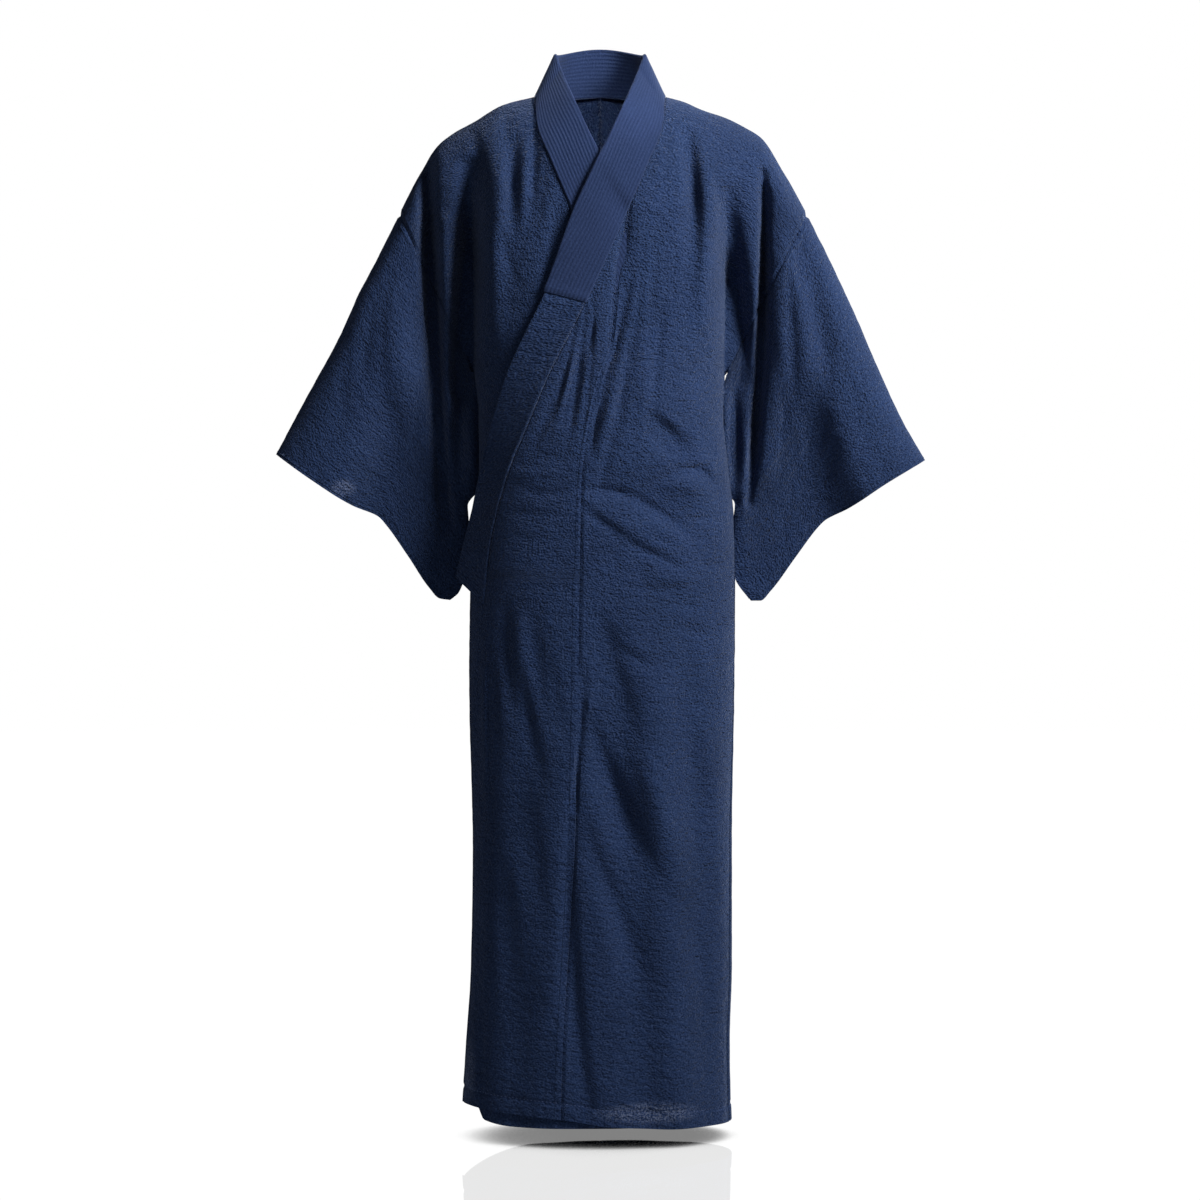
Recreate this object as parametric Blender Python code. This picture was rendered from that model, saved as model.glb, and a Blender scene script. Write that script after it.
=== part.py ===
"""A men's cotton yukata robe, held in the form it has when it is worn, as solids in metres, +Z up.

X runs to the wearer's left, -Y is the front. The origin is between the two neck points of the shoulders,
where the wearer carries the robe. Each cut piece of cloth is one closed wall. The front closes with the
wearer's left side over the right, so "over" means the left front and "under" the right one.

The cloth is worked out as two surfaces, y = front(x, z) and y = back(x, z), that meet along the top outline
of the shoulders and sleeves and along the sides. Each piece is a grid of points on them, between its seams.
"""

import bpy
import numpy as np

# Driving sizes, in metres.
CLOTH_WALL = 0.0016
COLLAR_WALL = 0.0020
COVER_WALL = 0.0010
COVER_GAP = 0.0004
SEAM_GAP = 0.0003
LAYER_GAP = 0.0078  # the over front stands this far in front of the under front, where a collar lies between
SKIRT_GAP = 0.0045  # and this far in front below the collars' ends
NECK_HALF = 0.088
NECK_DOME = 0.050  # height of the unseen dome that carries the neckline's depth
UNDERARM_Z = -0.380
BODY_SQUARENESS = 2.25  # exponent of the superellipse that a level section through the body follows
SIDE_SEAM_AT_HEM = 1.36  # angle of the side seam from the front, where 90 degrees is the side
OVER_EDGE_ANGLE = 1.40
UNDER_EDGE_ANGLE = 1.22
CUFF_OPENING_SHARE = 0.47  # share of the wrist edge, from the top, that is left open
CUFF_TAPER = 0.22  # the opening narrows to the sewn part over this share of the wrist edge
CUFF_SEWN_THICKNESS = 0.0044
SLEEVE_HANG_BACK = 0.018  # the bag of the sleeve hangs this far behind the arm
NECK_LIFT = 0.0016  # the band starts this much further up round the neck, where it stands on the shoulders
NECK_FREE_SLOPE = 0.055  # the free edge comes this far forward over the first row of the collar's table
BAND_END_STAND = 0.022  # the lower end of the collar band stays this far in front of the side
NECK_SHARE = 0.24  # share of the way down the back at which the neckline reaches the centre

RIGHT, LEFT = -1, 1  # the wearer's right is at -X

# Level sections of the body below the arms, top to bottom.
BODY_Z, BODY_HALF_RIGHT, BODY_HALF_LEFT, BODY_FRONT, BODY_BACK = range(5)
BODY_SECTIONS = np.array((
    # z, half width right, half width left, front depth, back depth
    (-0.380, 0.1740, 0.1720, 0.122, 0.112),
    (-0.440, 0.1670, 0.1700, 0.122, 0.112),
    (-0.500, 0.1670, 0.1760, 0.121, 0.110),
    (-0.580, 0.1690, 0.1840, 0.119, 0.108),
    (-0.680, 0.1730, 0.1860, 0.119, 0.110),
    (-0.830, 0.1750, 0.1850, 0.121, 0.114),
    (-1.020, 0.1725, 0.1820, 0.123, 0.115),
    (-1.200, 0.1755, 0.1820, 0.124, 0.116),
    (-1.300, 0.1820, 0.1790, 0.125, 0.118),
    (-1.410, 0.1890, 0.1810, 0.126, 0.120),
))

# The top outline over each shoulder and down the arm, from the neck point to the wrist.
RIDGE_X, RIDGE_Z = range(2)
RIDGE = {
    RIGHT: np.array((
        (0.088, 0.000), (0.110, -0.005), (0.137, -0.013), (0.172, -0.034), (0.204, -0.052),
        (0.222, -0.066), (0.250, -0.109), (0.277, -0.163), (0.305, -0.219), (0.333, -0.272),
        (0.359, -0.330), (0.407, -0.418), (0.447, -0.493),
    )),
    LEFT: np.array((
        (0.088, 0.000), (0.114, -0.007), (0.145, -0.020), (0.174, -0.030), (0.202, -0.044),
        (0.221, -0.056), (0.254, -0.106), (0.286, -0.164), (0.317, -0.226), (0.349, -0.294),
        (0.385, -0.377), (0.415, -0.442), (0.4485, -0.501),
    )),
}
ARMHOLE_TOP_X = {RIGHT: 0.277, LEFT: 0.286}
ARMHOLE_MIDDLE = {RIGHT: (0.2290, -0.266), LEFT: (0.2330, -0.266)}
UNDERARM_X = {RIGHT: 0.178, LEFT: 0.176}

# Depth of the front and of the back of the upper body, from the middle out to the arm, and how far below
# the top outline each reaches that depth.
TOP_X, TOP_FRONT, TOP_FRONT_DROP, TOP_BACK, TOP_BACK_DROP = range(5)
TOP_SECTIONS = np.array((
    # x, front depth, front drop, back depth, back drop
    (0.000, 0.118, 0.200, 0.070, 0.050),
    (0.088, 0.114, 0.190, 0.082, 0.080),
    (0.145, 0.100, 0.150, 0.088, 0.115),
    (0.200, 0.072, 0.090, 0.070, 0.090),
    (0.240, 0.058, 0.062, 0.056, 0.062),
    (0.300, 0.054, 0.056, 0.054, 0.056),
))

# Wrist edge of a sleeve, from its top corner to where the edge meets the bottom fold, as share of the way,
# x and z, and the bottom fold from the underarm to the same corner.
EDGE_SHARE, EDGE_X, EDGE_Z = range(3)
WRIST_EDGE = {
    RIGHT: np.array((
        (0.00, 0.447, -0.493), (0.18, 0.395, -0.530), (0.36, 0.341, -0.564), (0.47, 0.306, -0.579),
        (0.52, 0.296, -0.590), (0.68, 0.266, -0.633), (0.88, 0.236, -0.678), (0.95, 0.222, -0.692),
        (1.00, 0.208, -0.694),
    )),
    LEFT: np.array((
        (0.00, 0.4485, -0.501), (0.18, 0.392, -0.535), (0.36, 0.342, -0.568), (0.47, 0.311, -0.584),
        (0.52, 0.301, -0.594), (0.68, 0.272, -0.633), (0.88, 0.236, -0.682), (0.95, 0.222, -0.695),
        (1.00, 0.209, -0.695),
    )),
}
SLEEVE_FOLD = {
    RIGHT: np.array((
        (0.00, 0.178, -0.380), (0.12, 0.1760, -0.411), (0.50, 0.1755, -0.534), (0.66, 0.1800, -0.585),
        (0.90, 0.1880, -0.664), (0.96, 0.1960, -0.684), (1.00, 0.208, -0.694),
    )),
    LEFT: np.array((
        (0.00, 0.176, -0.380), (0.12, 0.1780, -0.411), (0.50, 0.1850, -0.534), (0.66, 0.1900, -0.585),
        (0.90, 0.1940, -0.664), (0.96, 0.2000, -0.684), (1.00, 0.209, -0.695),
    )),
}
# Thickness of the sleeve to each side of its middle, along the wrist edge, near the armhole and the wrist.
SLEEVE_WAY, SLEEVE_AT_ARM, SLEEVE_AT_WRIST = range(3)
SLEEVE_THICKNESS = np.array((
    (0.00, 0.050, 0.036),
    (0.20, 0.054, 0.036),
    (0.45, 0.044, 0.022),
    (0.55, 0.036, 0.014),
    (0.80, 0.030, 0.014),
    (1.00, 0.026, 0.014),
))

# Collar band of the over front, from the neck point down: outer edge, sewn to the body, and inner edge.
# The under front's collar is its mirror image.
BAND_SEAM_X, BAND_SEAM_Z, BAND_FREE_X, BAND_FREE_Z = range(4)
COLLAR_FRONT = np.array((
    # seam x, seam z, free x, free z
    (0.0880, 0.000, 0.0615, 0.050),
    (0.0832, -0.050, 0.0439, 0.004),
    (0.0650, -0.100, 0.0230, -0.048),
    (0.0405, -0.158, -0.0013, -0.099),
    (0.0121, -0.223, -0.0323, -0.165),
    (-0.0202, -0.294, -0.0740, -0.2797),
    (-0.0390, -0.332, -0.0960, -0.3240),
    (-0.0673, -0.387, -0.1250, -0.3846),
    (-0.0969, -0.456, -0.1480, -0.4547),
    (-0.1230, -0.518, -0.1640, -0.520),
    (-0.1396, -0.573, -0.1760, -0.572),
    (-0.1506, -0.628, -0.1880, -0.619),
    (-0.1575, -0.700, -0.1980, -0.6626),
))
COLLAR_NECK_HALF = 0.0615
COLLAR_SIDE_Z = 0.050
COLLAR_BACK_Y = 0.062
COLLAR_BACK_Z = 0.075
COLLAR_BACK_SEAM_Z = 0.010
COVER_END_ROW = 5  # the cover collar ends at this row of the table
COLLAR_END_Z = {RIGHT: -0.716, LEFT: -0.703}  # the free front edge comes out of the collar's end here

# Seam between the front panel and the front strip, from the collar to the hem, on the over front.
OKUMI_SEAM = np.array((
    (0.0405, -0.158), (0.0300, -0.215), (0.0202, -0.277), (0.0135, -0.352), (-0.0013, -0.393),
    (-0.0175, -0.469), (-0.0256, -0.538), (-0.0283, -0.686), (-0.0296, -0.813), (-0.0330, -0.970),
    (-0.0430, -1.164), (-0.0511, -1.310), (-0.0540, -1.410),
))

# Hem height over x, from the wearer's right to the left, of the over front, the under front and the back.
HEM_Z = -1.404
OVER_HEM = np.array((
    (-0.190, -1.381), (-0.110, -1.388), (-0.050, -1.392), (0.010, -1.401), (0.090, -1.406), (0.180, -1.408),
))
UNDER_HEM = np.array((
    (-0.190, -1.372), (-0.168, -1.381), (-0.157, -1.399), (-0.110, -1.405), (0.000, HEM_Z), (0.180, HEM_Z),
))
BACK_HEM = np.array((
    (-0.190, -1.374), (-0.150, -1.390), (-0.090, -1.402), (0.000, HEM_Z), (0.180, -1.408),
))

# Folds: a row is a curved line through a start, a middle and an end, each as x and z, then the half width
# and the height at the start, middle and end (below 0 for a trough).
FRONT_FOLDS = (
    # hollows between the chest and the arms
    ("chest hollow right", -0.174, -0.085, -0.172, -0.210, -0.164, -0.330, 0.018, -0.010, -0.030, -0.001),
    ("chest hollow left", 0.174, -0.095, 0.171, -0.210, 0.162, -0.330, 0.017, -0.009, -0.027, -0.001),
    ("chest edge right", -0.142, -0.110, -0.143, -0.220, -0.144, -0.330, 0.015, 0.003, 0.009, 0.004),
    ("chest edge left", 0.142, -0.110, 0.142, -0.220, 0.142, -0.330, 0.015, 0.003, 0.008, 0.004),
    # folds that hang from the shoulder seam down the sleeves
    ("sleeve valley right", -0.240, -0.130, -0.232, -0.340, -0.204, -0.600, 0.014, -0.010, -0.025, -0.012),
    ("sleeve column right", -0.212, -0.180, -0.206, -0.340, -0.196, -0.560, 0.015, 0.010, 0.020, 0.012),
    ("sleeve valley left", 0.228, -0.125, 0.229, -0.330, 0.200, -0.590, 0.014, -0.010, -0.025, -0.012),
    ("sleeve column left", 0.208, -0.180, 0.210, -0.340, 0.196, -0.560, 0.015, 0.010, 0.020, 0.012),
    ("sleeve crest right", -0.262, -0.240, -0.268, -0.400, -0.240, -0.610, 0.020, 0.006, 0.012, 0.006),
    ("sleeve crest left", 0.262, -0.240, 0.268, -0.400, 0.240, -0.610, 0.020, 0.006, 0.012, 0.006),
    # chest
    ("shoulder fold right", -0.128, -0.040, -0.118, -0.130, -0.108, -0.230, 0.012, -0.004, -0.007, -0.002),
    ("shoulder fold left", 0.118, -0.060, 0.124, -0.140, 0.130, -0.250, 0.012, -0.004, -0.008, -0.003),
    ("strip fold", 0.034, -0.170, 0.030, -0.270, 0.010, -0.360, 0.010, -0.003, -0.005, -0.003),
    # waist
    ("waist fold high", 0.070, -0.460, 0.100, -0.480, 0.118, -0.512, 0.020, -0.003, -0.007, -0.003),
    ("waist fold middle", -0.010, -0.545, 0.070, -0.552, 0.126, -0.606, 0.020, -0.003, -0.006, -0.003),
    ("waist fold low", -0.010, -0.580, 0.060, -0.612, 0.120, -0.660, 0.020, 0.003, 0.005, 0.002),
    # skirt
    ("skirt trough middle", 0.000, -0.760, 0.032, -1.020, 0.062, -1.390, 0.026, -0.003, -0.009, -0.005),
    ("skirt ridge middle", 0.040, -0.700, 0.080, -0.950, 0.104, -1.390, 0.026, 0.002, 0.008, 0.006),
    ("skirt trough left", 0.110, -0.700, 0.132, -1.000, 0.150, -1.390, 0.020, -0.002, -0.007, -0.005),
    ("skirt trough right", -0.100, -0.760, -0.104, -1.050, -0.112, -1.390, 0.024, -0.002, -0.006, -0.005),
)
BACK_FOLDS = (
    ("back hollow right", -0.176, -0.100, -0.174, -0.210, -0.166, -0.335, 0.018, -0.008, -0.022, -0.001),
    ("back hollow left", 0.176, -0.100, 0.174, -0.210, 0.166, -0.335, 0.018, -0.008, -0.022, -0.001),
    ("back valley right", -0.236, -0.140, -0.226, -0.340, -0.206, -0.590, 0.014, -0.008, -0.020, -0.010),
    ("back valley left", 0.238, -0.140, 0.228, -0.340, 0.206, -0.590, 0.014, -0.008, -0.020, -0.010),
    ("back sleeve crest right", -0.270, -0.260, -0.264, -0.420, -0.240, -0.610, 0.022, 0.004, 0.010, 0.005),
    ("back sleeve crest left", 0.270, -0.260, 0.264, -0.420, 0.240, -0.610, 0.022, 0.004, 0.010, 0.005),
    ("blade fold right", -0.090, -0.080, -0.084, -0.220, -0.070, -0.400, 0.014, -0.003, -0.007, -0.003),
    ("blade fold left", 0.096, -0.080, 0.088, -0.200, 0.078, -0.360, 0.014, -0.003, -0.006, -0.002),
    ("back waist fold high", -0.110, -0.500, -0.010, -0.530, 0.100, -0.490, 0.020, -0.002, -0.006, -0.002),
    ("back waist fold low", -0.090, -0.600, 0.020, -0.580, 0.110, -0.620, 0.020, 0.002, 0.005, 0.002),
    ("back skirt trough right", -0.080, -0.760, -0.074, -1.050, -0.066, -1.390, 0.026, -0.002, -0.008, -0.006),
    ("back skirt ridge right", -0.126, -0.740, -0.124, -1.050, -0.130, -1.390, 0.024, 0.002, 0.006, 0.005),
    ("back skirt trough left", 0.070, -0.720, 0.086, -1.020, 0.094, -1.390, 0.028, -0.002, -0.008, -0.007),
)
THINNEST_HALF = 0.20  # a fold never presses the cloth closer to the middle than this share of its depth

# Lines that columns of the body's grid follow, from the middle out: fold and distance outside its line.
FRONT_GUIDES = (
    ("chest edge", -0.004), ("chest hollow", -0.016), ("chest hollow", -0.005), ("chest hollow", 0.006),
    ("chest hollow", 0.018), ("sleeve column", 0.0), ("sleeve valley", -0.010), ("sleeve valley", 0.001),
    ("sleeve valley", 0.014),
)
BACK_GUIDES = (
    ("back hollow", -0.030), ("back hollow", -0.014), ("back hollow", -0.004), ("back hollow", 0.006),
    ("back hollow", 0.016), ("back hollow", 0.030), ("back valley", -0.010), ("back valley", 0.001),
    ("back valley", 0.014),
)
GUIDE_STEP = 0.0055  # least distance between two guided columns
VALLEY_STEP = 0.045  # share of a sleeve's ring between its valley and the columns beside it

# Grid sizes.
CHEST_COLUMNS = 6
PANEL_COLUMNS = CHEST_COLUMNS + len(FRONT_GUIDES) + 1
WAIST_ROWS, SKIRT_ROWS = 11, 7
WAIST_SHARE = 0.31  # share of the length below the arms that holds the folds of the waist
RING_TO_VALLEY, RING_STEPS = 8, 16
STRIP_COLUMNS = 6
SLEEVE_STATIONS = 12
NECK_STATIONS = 9
BAND_ROWS = np.concatenate((np.arange(0, 5, 0.25), np.arange(5, 12.1, 0.5)))
FOLD_SAMPLES = 9
DENSE = 160


def smooth(share):
    """0 to 1 with level ends: 3 s^2 - 2 s^3."""
    share = np.clip(share, 0.0, 1.0)
    return share * share * (3.0 - 2.0 * share)


def through(at, knots, values):
    """Smooth curve through (knots, values) that never overshoots between them: a monotone cubic."""
    knots = np.asarray(knots, float)
    values = np.asarray(values, float)
    step = np.diff(knots)
    slope = np.diff(values) / step
    tangent = np.zeros(len(values))
    tangent[0], tangent[-1] = slope[0], slope[-1]
    before, after = slope[:-1], slope[1:]
    same_way = before * after > 0
    weight_a = 2 * step[1:] + step[:-1]
    weight_b = step[1:] + 2 * step[:-1]
    with np.errstate(divide="ignore", invalid="ignore"):
        mean = (weight_a + weight_b) / (weight_a / before + weight_b / after)
    tangent[1:-1][same_way] = mean[same_way]
    at = np.clip(at, knots[0], knots[-1])
    i = np.clip(np.searchsorted(knots, at, side="right") - 1, 0, len(step) - 1)
    s = (at - knots[i]) / step[i]
    return (
        values[i] * (1 + 2 * s) * (1 - s) ** 2
        + tangent[i] * step[i] * s * (1 - s) ** 2
        + values[i + 1] * s * s * (3 - 2 * s)
        + tangent[i + 1] * step[i] * s * s * (s - 1)
    )


def body_at(z, column):
    """A column of the body's sections at the heights z."""
    return through(-np.asarray(z), -BODY_SECTIONS[:, BODY_Z], BODY_SECTIONS[:, column])


def half_width(side, z):
    return body_at(z, BODY_HALF_RIGHT if side == RIGHT else BODY_HALF_LEFT)


def ridge_z(x):
    """Height of the top outline over x, with the neck's dome between the neck points."""
    out = np.abs(x)
    dome = NECK_DOME * (1 - (out / NECK_HALF) ** 2)
    right = through(out, RIDGE[RIGHT][:, RIDGE_X], RIDGE[RIGHT][:, RIDGE_Z])
    left = through(out, RIDGE[LEFT][:, RIDGE_X], RIDGE[LEFT][:, RIDGE_Z])
    return np.where(out < NECK_HALF, dome, np.where(x < 0, right, left))


def fold_line(fold, samples):
    """Points of a fold's line: the quadratic curve through its start, middle and end."""
    way = np.linspace(0, 1, samples)
    x0, z0, x1, z1, x2, z2 = fold[1:7]
    bow_x, bow_z = 2 * x1 - (x0 + x2) / 2, 2 * z1 - (z0 + z2) / 2
    line_x = (1 - way) ** 2 * x0 + 2 * way * (1 - way) * bow_x + way**2 * x2
    line_z = (1 - way) ** 2 * z0 + 2 * way * (1 - way) * bow_z + way**2 * z2
    return line_x, line_z


def fold_height(x, z, folds):
    """Sum of the folds at (x, z). Each is h(u) exp(-(d / w)^2) with d the distance to its line and u the way."""
    total = np.zeros(np.shape(x))
    for fold in folds:
        width, start, middle, end = fold[7:]
        line_x, line_z = fold_line(fold, FOLD_SAMPLES)
        near = np.full(np.shape(x), np.inf)
        near_way = np.zeros(np.shape(x))
        for k in range(FOLD_SAMPLES - 1):
            run_x, run_z = line_x[k + 1] - line_x[k], line_z[k + 1] - line_z[k]
            share = ((x - line_x[k]) * run_x + (z - line_z[k]) * run_z) / (run_x**2 + run_z**2)
            share = np.clip(share, 0, 1)
            apart = np.hypot(x - line_x[k] - share * run_x, z - line_z[k] - share * run_z)
            closer = apart < near
            near = np.where(closer, apart, near)
            near_way = np.where(closer, (k + share) / (FOLD_SAMPLES - 1), near_way)
        height = through(near_way, (0, 0.5, 1), (start, middle, end))
        total += height * np.exp(-((near / width) ** 2))
    return total


def fold_x(name, side, z):
    """Distance from the middle, at the heights z, of a named fold's line on one side."""
    word = " left" if side == LEFT else " right"
    fold = next(fold for fold in FRONT_FOLDS + BACK_FOLDS if fold[0] == name + word)
    line_x, line_z = fold_line(fold, FOLD_SAMPLES)
    return np.interp(-z, -line_z, side * line_x)


def fold_depth(depth, x, z, folds):
    """The depth with its folds, kept off the middle."""
    return np.maximum(depth + fold_height(x, z, folds), THINNEST_HALF * depth)


def layer_gap(z):
    """Distance from the under front to the over front: wider as far down as the collars reach."""
    return SKIRT_GAP + (LAYER_GAP - SKIRT_GAP) * smooth((z + 1.10) / 0.40)


def layer_growth(x, z, side):
    """How far the over front stands outside the hull, and the under front inside it, away from its own seam."""
    return layer_gap(z) * smooth((0.165 - side * x) / 0.33) * side


def hull_depth(x, z, back, growth):
    """Smooth depth of the body and shoulders at (x, z), before folds.

    Above the arms it is a depth for each x, reached along a quarter ellipse below the top outline. It turns
    towards the armpit into the body's superellipse (1 - |x / a|^n)^(1/n), grown by the layer's growth.
    """
    out = np.abs(x)
    column, drop_column = (TOP_BACK, TOP_BACK_DROP) if back else (TOP_FRONT, TOP_FRONT_DROP)
    top = through(out, TOP_SECTIONS[:, TOP_X], TOP_SECTIONS[:, column])
    drop = through(out, TOP_SECTIONS[:, TOP_X], TOP_SECTIONS[:, drop_column])
    below_top = smooth((ridge_z(x) - z) / 0.09)
    growth = growth * below_top
    across = np.where(x < 0, half_width(RIGHT, z), half_width(LEFT, z)) + growth
    inside = np.clip(1 - (out / across) ** BODY_SQUARENESS, 0, 1)
    ring = (body_at(z, BODY_BACK if back else BODY_FRONT) + growth) * inside ** (1 / BODY_SQUARENESS)
    lowered = np.clip(z / UNDERARM_Z, 0, 1) ** (1.3 if back else 2.2)
    share = np.clip((ridge_z(x) - z) / drop, 0, 1)
    return ((top + growth) * (1 - lowered) + ring * lowered) * np.sqrt(1 - (1 - share) ** 2)


def front_y(x, z, side):
    return -fold_depth(hull_depth(x, z, False, layer_growth(x, z, side)), x, z, FRONT_FOLDS)


def back_y(x, z):
    return fold_depth(hull_depth(x, z, True, 0.0), x, z, BACK_FOLDS)


def collar_seam_x(z, side):
    """Where the collar is sewn on, at the height z."""
    return side * through(-z, -COLLAR_FRONT[:, BAND_SEAM_Z], COLLAR_FRONT[:, BAND_SEAM_X])


def okumi_seam_x(z, side):
    return side * through(-z, -OKUMI_SEAM[:, 1], OKUMI_SEAM[:, 0])


def panel_inner_x(z, side):
    """Inner edge of the front body panel: the collar above, the strip's seam below."""
    return np.where(z > OKUMI_SEAM[0, 1], collar_seam_x(z, side), okumi_seam_x(z, side))


def neckline_z(x):
    """Height of the back neckline, which the collar is sewn to."""
    return COLLAR_BACK_SEAM_Z * (1 - (x / NECK_HALF) ** 2)


def turn_of(x, z, side, growth):
    """Angle from the front at which the level section of one side's front reaches x."""
    reach = np.where(side * x >= 0, half_width(side, z), half_width(-side, z) + growth)
    return np.arcsin(np.clip(side * x / reach, -1, 1))


def x_of(turn, z, side, growth):
    """x of a level section at the angle turn, past 90 degrees on the other face."""
    sine = np.sin(turn)
    return side * sine * np.where(sine >= 0, half_width(side, z), half_width(-side, z) + growth)


def side_seam_turn(z):
    """Angle of the side seam from the front: at the side under the arm, and further forward at the hem."""
    return np.pi / 2 + (SIDE_SEAM_AT_HEM - np.pi / 2) * smooth((UNDERARM_Z - z) / 0.8)


def sewn_line(side, ways):
    """Armhole seam from the top outline to the underarm, seen from the front: a quadratic curve."""
    top_x = ARMHOLE_TOP_X[side]
    start = np.array((top_x, through(top_x, RIDGE[side][:, RIDGE_X], RIDGE[side][:, RIDGE_Z])))
    end = np.array((UNDERARM_X[side], UNDERARM_Z))
    bow = 2 * np.array(ARMHOLE_MIDDLE[side]) - (start + end) / 2
    ways = np.asarray(ways)[..., None]
    line = (1 - ways) ** 2 * start + 2 * ways * (1 - ways) * bow + ways**2 * end
    return line * np.array((side, 1.0))


def edge_line(table, at, side):
    """A sleeve's edge line at the shares at."""
    x = through(at, table[:, EDGE_SHARE], table[:, EDGE_X])
    z = through(at, table[:, EDGE_SHARE], table[:, EDGE_Z])
    return np.stack((side * x, z), axis=-1)


def sleeve_patch(side, along, way):
    """x and z of the sleeve: a Coons patch between the top outline, bottom fold, armhole and wrist edge."""
    far = RIDGE[side][-1, RIDGE_X]
    top_x = ARMHOLE_TOP_X[side] + (far - ARMHOLE_TOP_X[side]) * along
    top = np.stack((side * top_x, through(top_x, RIDGE[side][:, RIDGE_X], RIDGE[side][:, RIDGE_Z])), axis=-1)
    fold = edge_line(SLEEVE_FOLD[side], along, side)
    wrist = edge_line(WRIST_EDGE[side], way, side)
    armhole = sewn_line(side, way)
    corners = [sewn_line(side, 0.0), edge_line(WRIST_EDGE[side], 0.0, side)]
    corners += [sewn_line(side, 1.0), edge_line(WRIST_EDGE[side], 1.0, side)]
    a, w = along[..., None], way[..., None]
    patch = (1 - w) * top + w * fold + (1 - a) * armhole + a * wrist
    patch = patch - (1 - a) * (1 - w) * corners[0] - a * (1 - w) * corners[1]
    return patch - (1 - a) * w * corners[2] - a * w * corners[3]


def ring_ways(side, alongs, back):
    """Ways along each ring of a sleeve, from the top outline to the bottom fold.

    They crowd towards both ends, and three of them follow the valley that hangs from the shoulder. On the
    armhole, which the body's rows share, one lies at the corner of the body's inner edge.
    """
    dense = np.linspace(0, 1, DENSE)
    name = "back valley" if back else "sleeve valley"
    rows = []
    for along in alongs:
        line = sleeve_patch(side, np.full(DENSE, along), dense)
        outside = side * line[:, 0] > fold_x(name, side, line[:, 1])
        valley = np.clip(dense[np.argmin(outside)], 0.30, 0.88)
        above = np.linspace(0, 1, RING_TO_VALLEY) ** 1.7 * (valley - VALLEY_STEP)
        last = valley + VALLEY_STEP
        below = last + (1 - last) * (1 - (1 - np.linspace(0, 1, RING_STEPS - RING_TO_VALLEY)) ** 1.5)
        rows.append(np.concatenate((above, (valley,), below)))
    corner = NECK_SHARE if back else OKUMI_SEAM[0, 1] / UNDERARM_Z
    rows[0][np.argmin(np.abs(rows[0] - corner))] = corner
    return np.array(rows)


def guided_columns(x, z, guides, side):
    """Where the columns of a row of the body's upper grid go, as shares of a densely sampled row."""
    out = side * x
    keys = [out[0]]
    for number, (name, outside) in enumerate(guides):
        target = np.interp(fold_x(name, side, z.mean()), out, z) if name else 0
        wanted = fold_x(name, side, target) + outside
        room = GUIDE_STEP * (len(guides) - number)
        keys.append(min(wanted, out[-1] - room))
    keys.append(out[-1])
    index = np.concatenate(((0,), CHEST_COLUMNS + np.arange(len(guides)), (PANEL_COLUMNS,)))
    columns = np.interp(np.arange(PANEL_COLUMNS + 1), index, keys)
    return np.interp(columns, out, np.linspace(0, 1, len(out)))


def upper_patch(side, ways, shares, back):
    """x and z of the body panel above the underarm, seen from the front: a Coons patch between its edges.

    ways run from 0 at the top outline to 1 at the underarm, shares from 0 at the neck side to 1 at the armhole.
    """
    def top(share):
        x = NECK_HALF + (ARMHOLE_TOP_X[side] - NECK_HALF) * share
        return np.stack((side * x, through(x, RIDGE[side][:, RIDGE_X], RIDGE[side][:, RIDGE_Z])), axis=-1)

    def inner(way):
        if not back:
            z = UNDERARM_Z * way
            return np.stack((panel_inner_x(z, side), z), axis=-1)
        x = NECK_HALF * np.cos(np.clip(way / NECK_SHARE, 0, 1) ** 0.6 * np.pi / 2)
        down = np.clip((way - NECK_SHARE) / (1 - NECK_SHARE), 0, 1)
        z = neckline_z(x) + (UNDERARM_Z - COLLAR_BACK_SEAM_Z) * down
        return np.stack((side * x, z), axis=-1)

    def bottom(share):
        level = np.full(np.shape(share), UNDERARM_Z)
        start = turn_of(inner(np.array(1.0))[0], UNDERARM_Z, side, 0.0)
        x = x_of(start + (np.pi / 2 - start) * share, level, side, 0.0)
        x = x + side * (UNDERARM_X[side] - half_width(side, UNDERARM_Z)) * share**6
        return np.stack((x, level), axis=-1)

    one = np.array(1.0)
    zero = np.array(0.0)
    w, s = ways[..., None], shares[..., None]
    patch = (1 - w) * top(shares) + w * bottom(shares) + (1 - s) * inner(ways) + s * sewn_line(side, ways)
    patch = patch - (1 - w) * (1 - s) * top(zero) - (1 - w) * s * top(one)
    return patch - w * (1 - s) * bottom(zero) - w * s * bottom(one)


def upper_rows(side, back):
    """x and z of the rows above the underarm, and the shares of the last of them."""
    ways = ring_ways(side, (0.0,), back)[0]
    guides = BACK_GUIDES if back else FRONT_GUIDES
    dense = np.linspace(0, 1, DENSE)
    rows = []
    for way in ways:
        line = upper_patch(side, np.full(DENSE, way), dense, back)
        shares = guided_columns(line[:, 0], line[:, 1], guides, side)
        rows.append(upper_patch(side, np.full(len(shares), way), shares, back))
    rows = np.array(rows)
    return rows[..., 0], rows[..., 1], shares


def hem_height(x, side, back):
    hem = BACK_HEM if back else UNDER_HEM if side == RIGHT else OVER_HEM
    return through(x, hem[:, 0], hem[:, 1])


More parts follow.
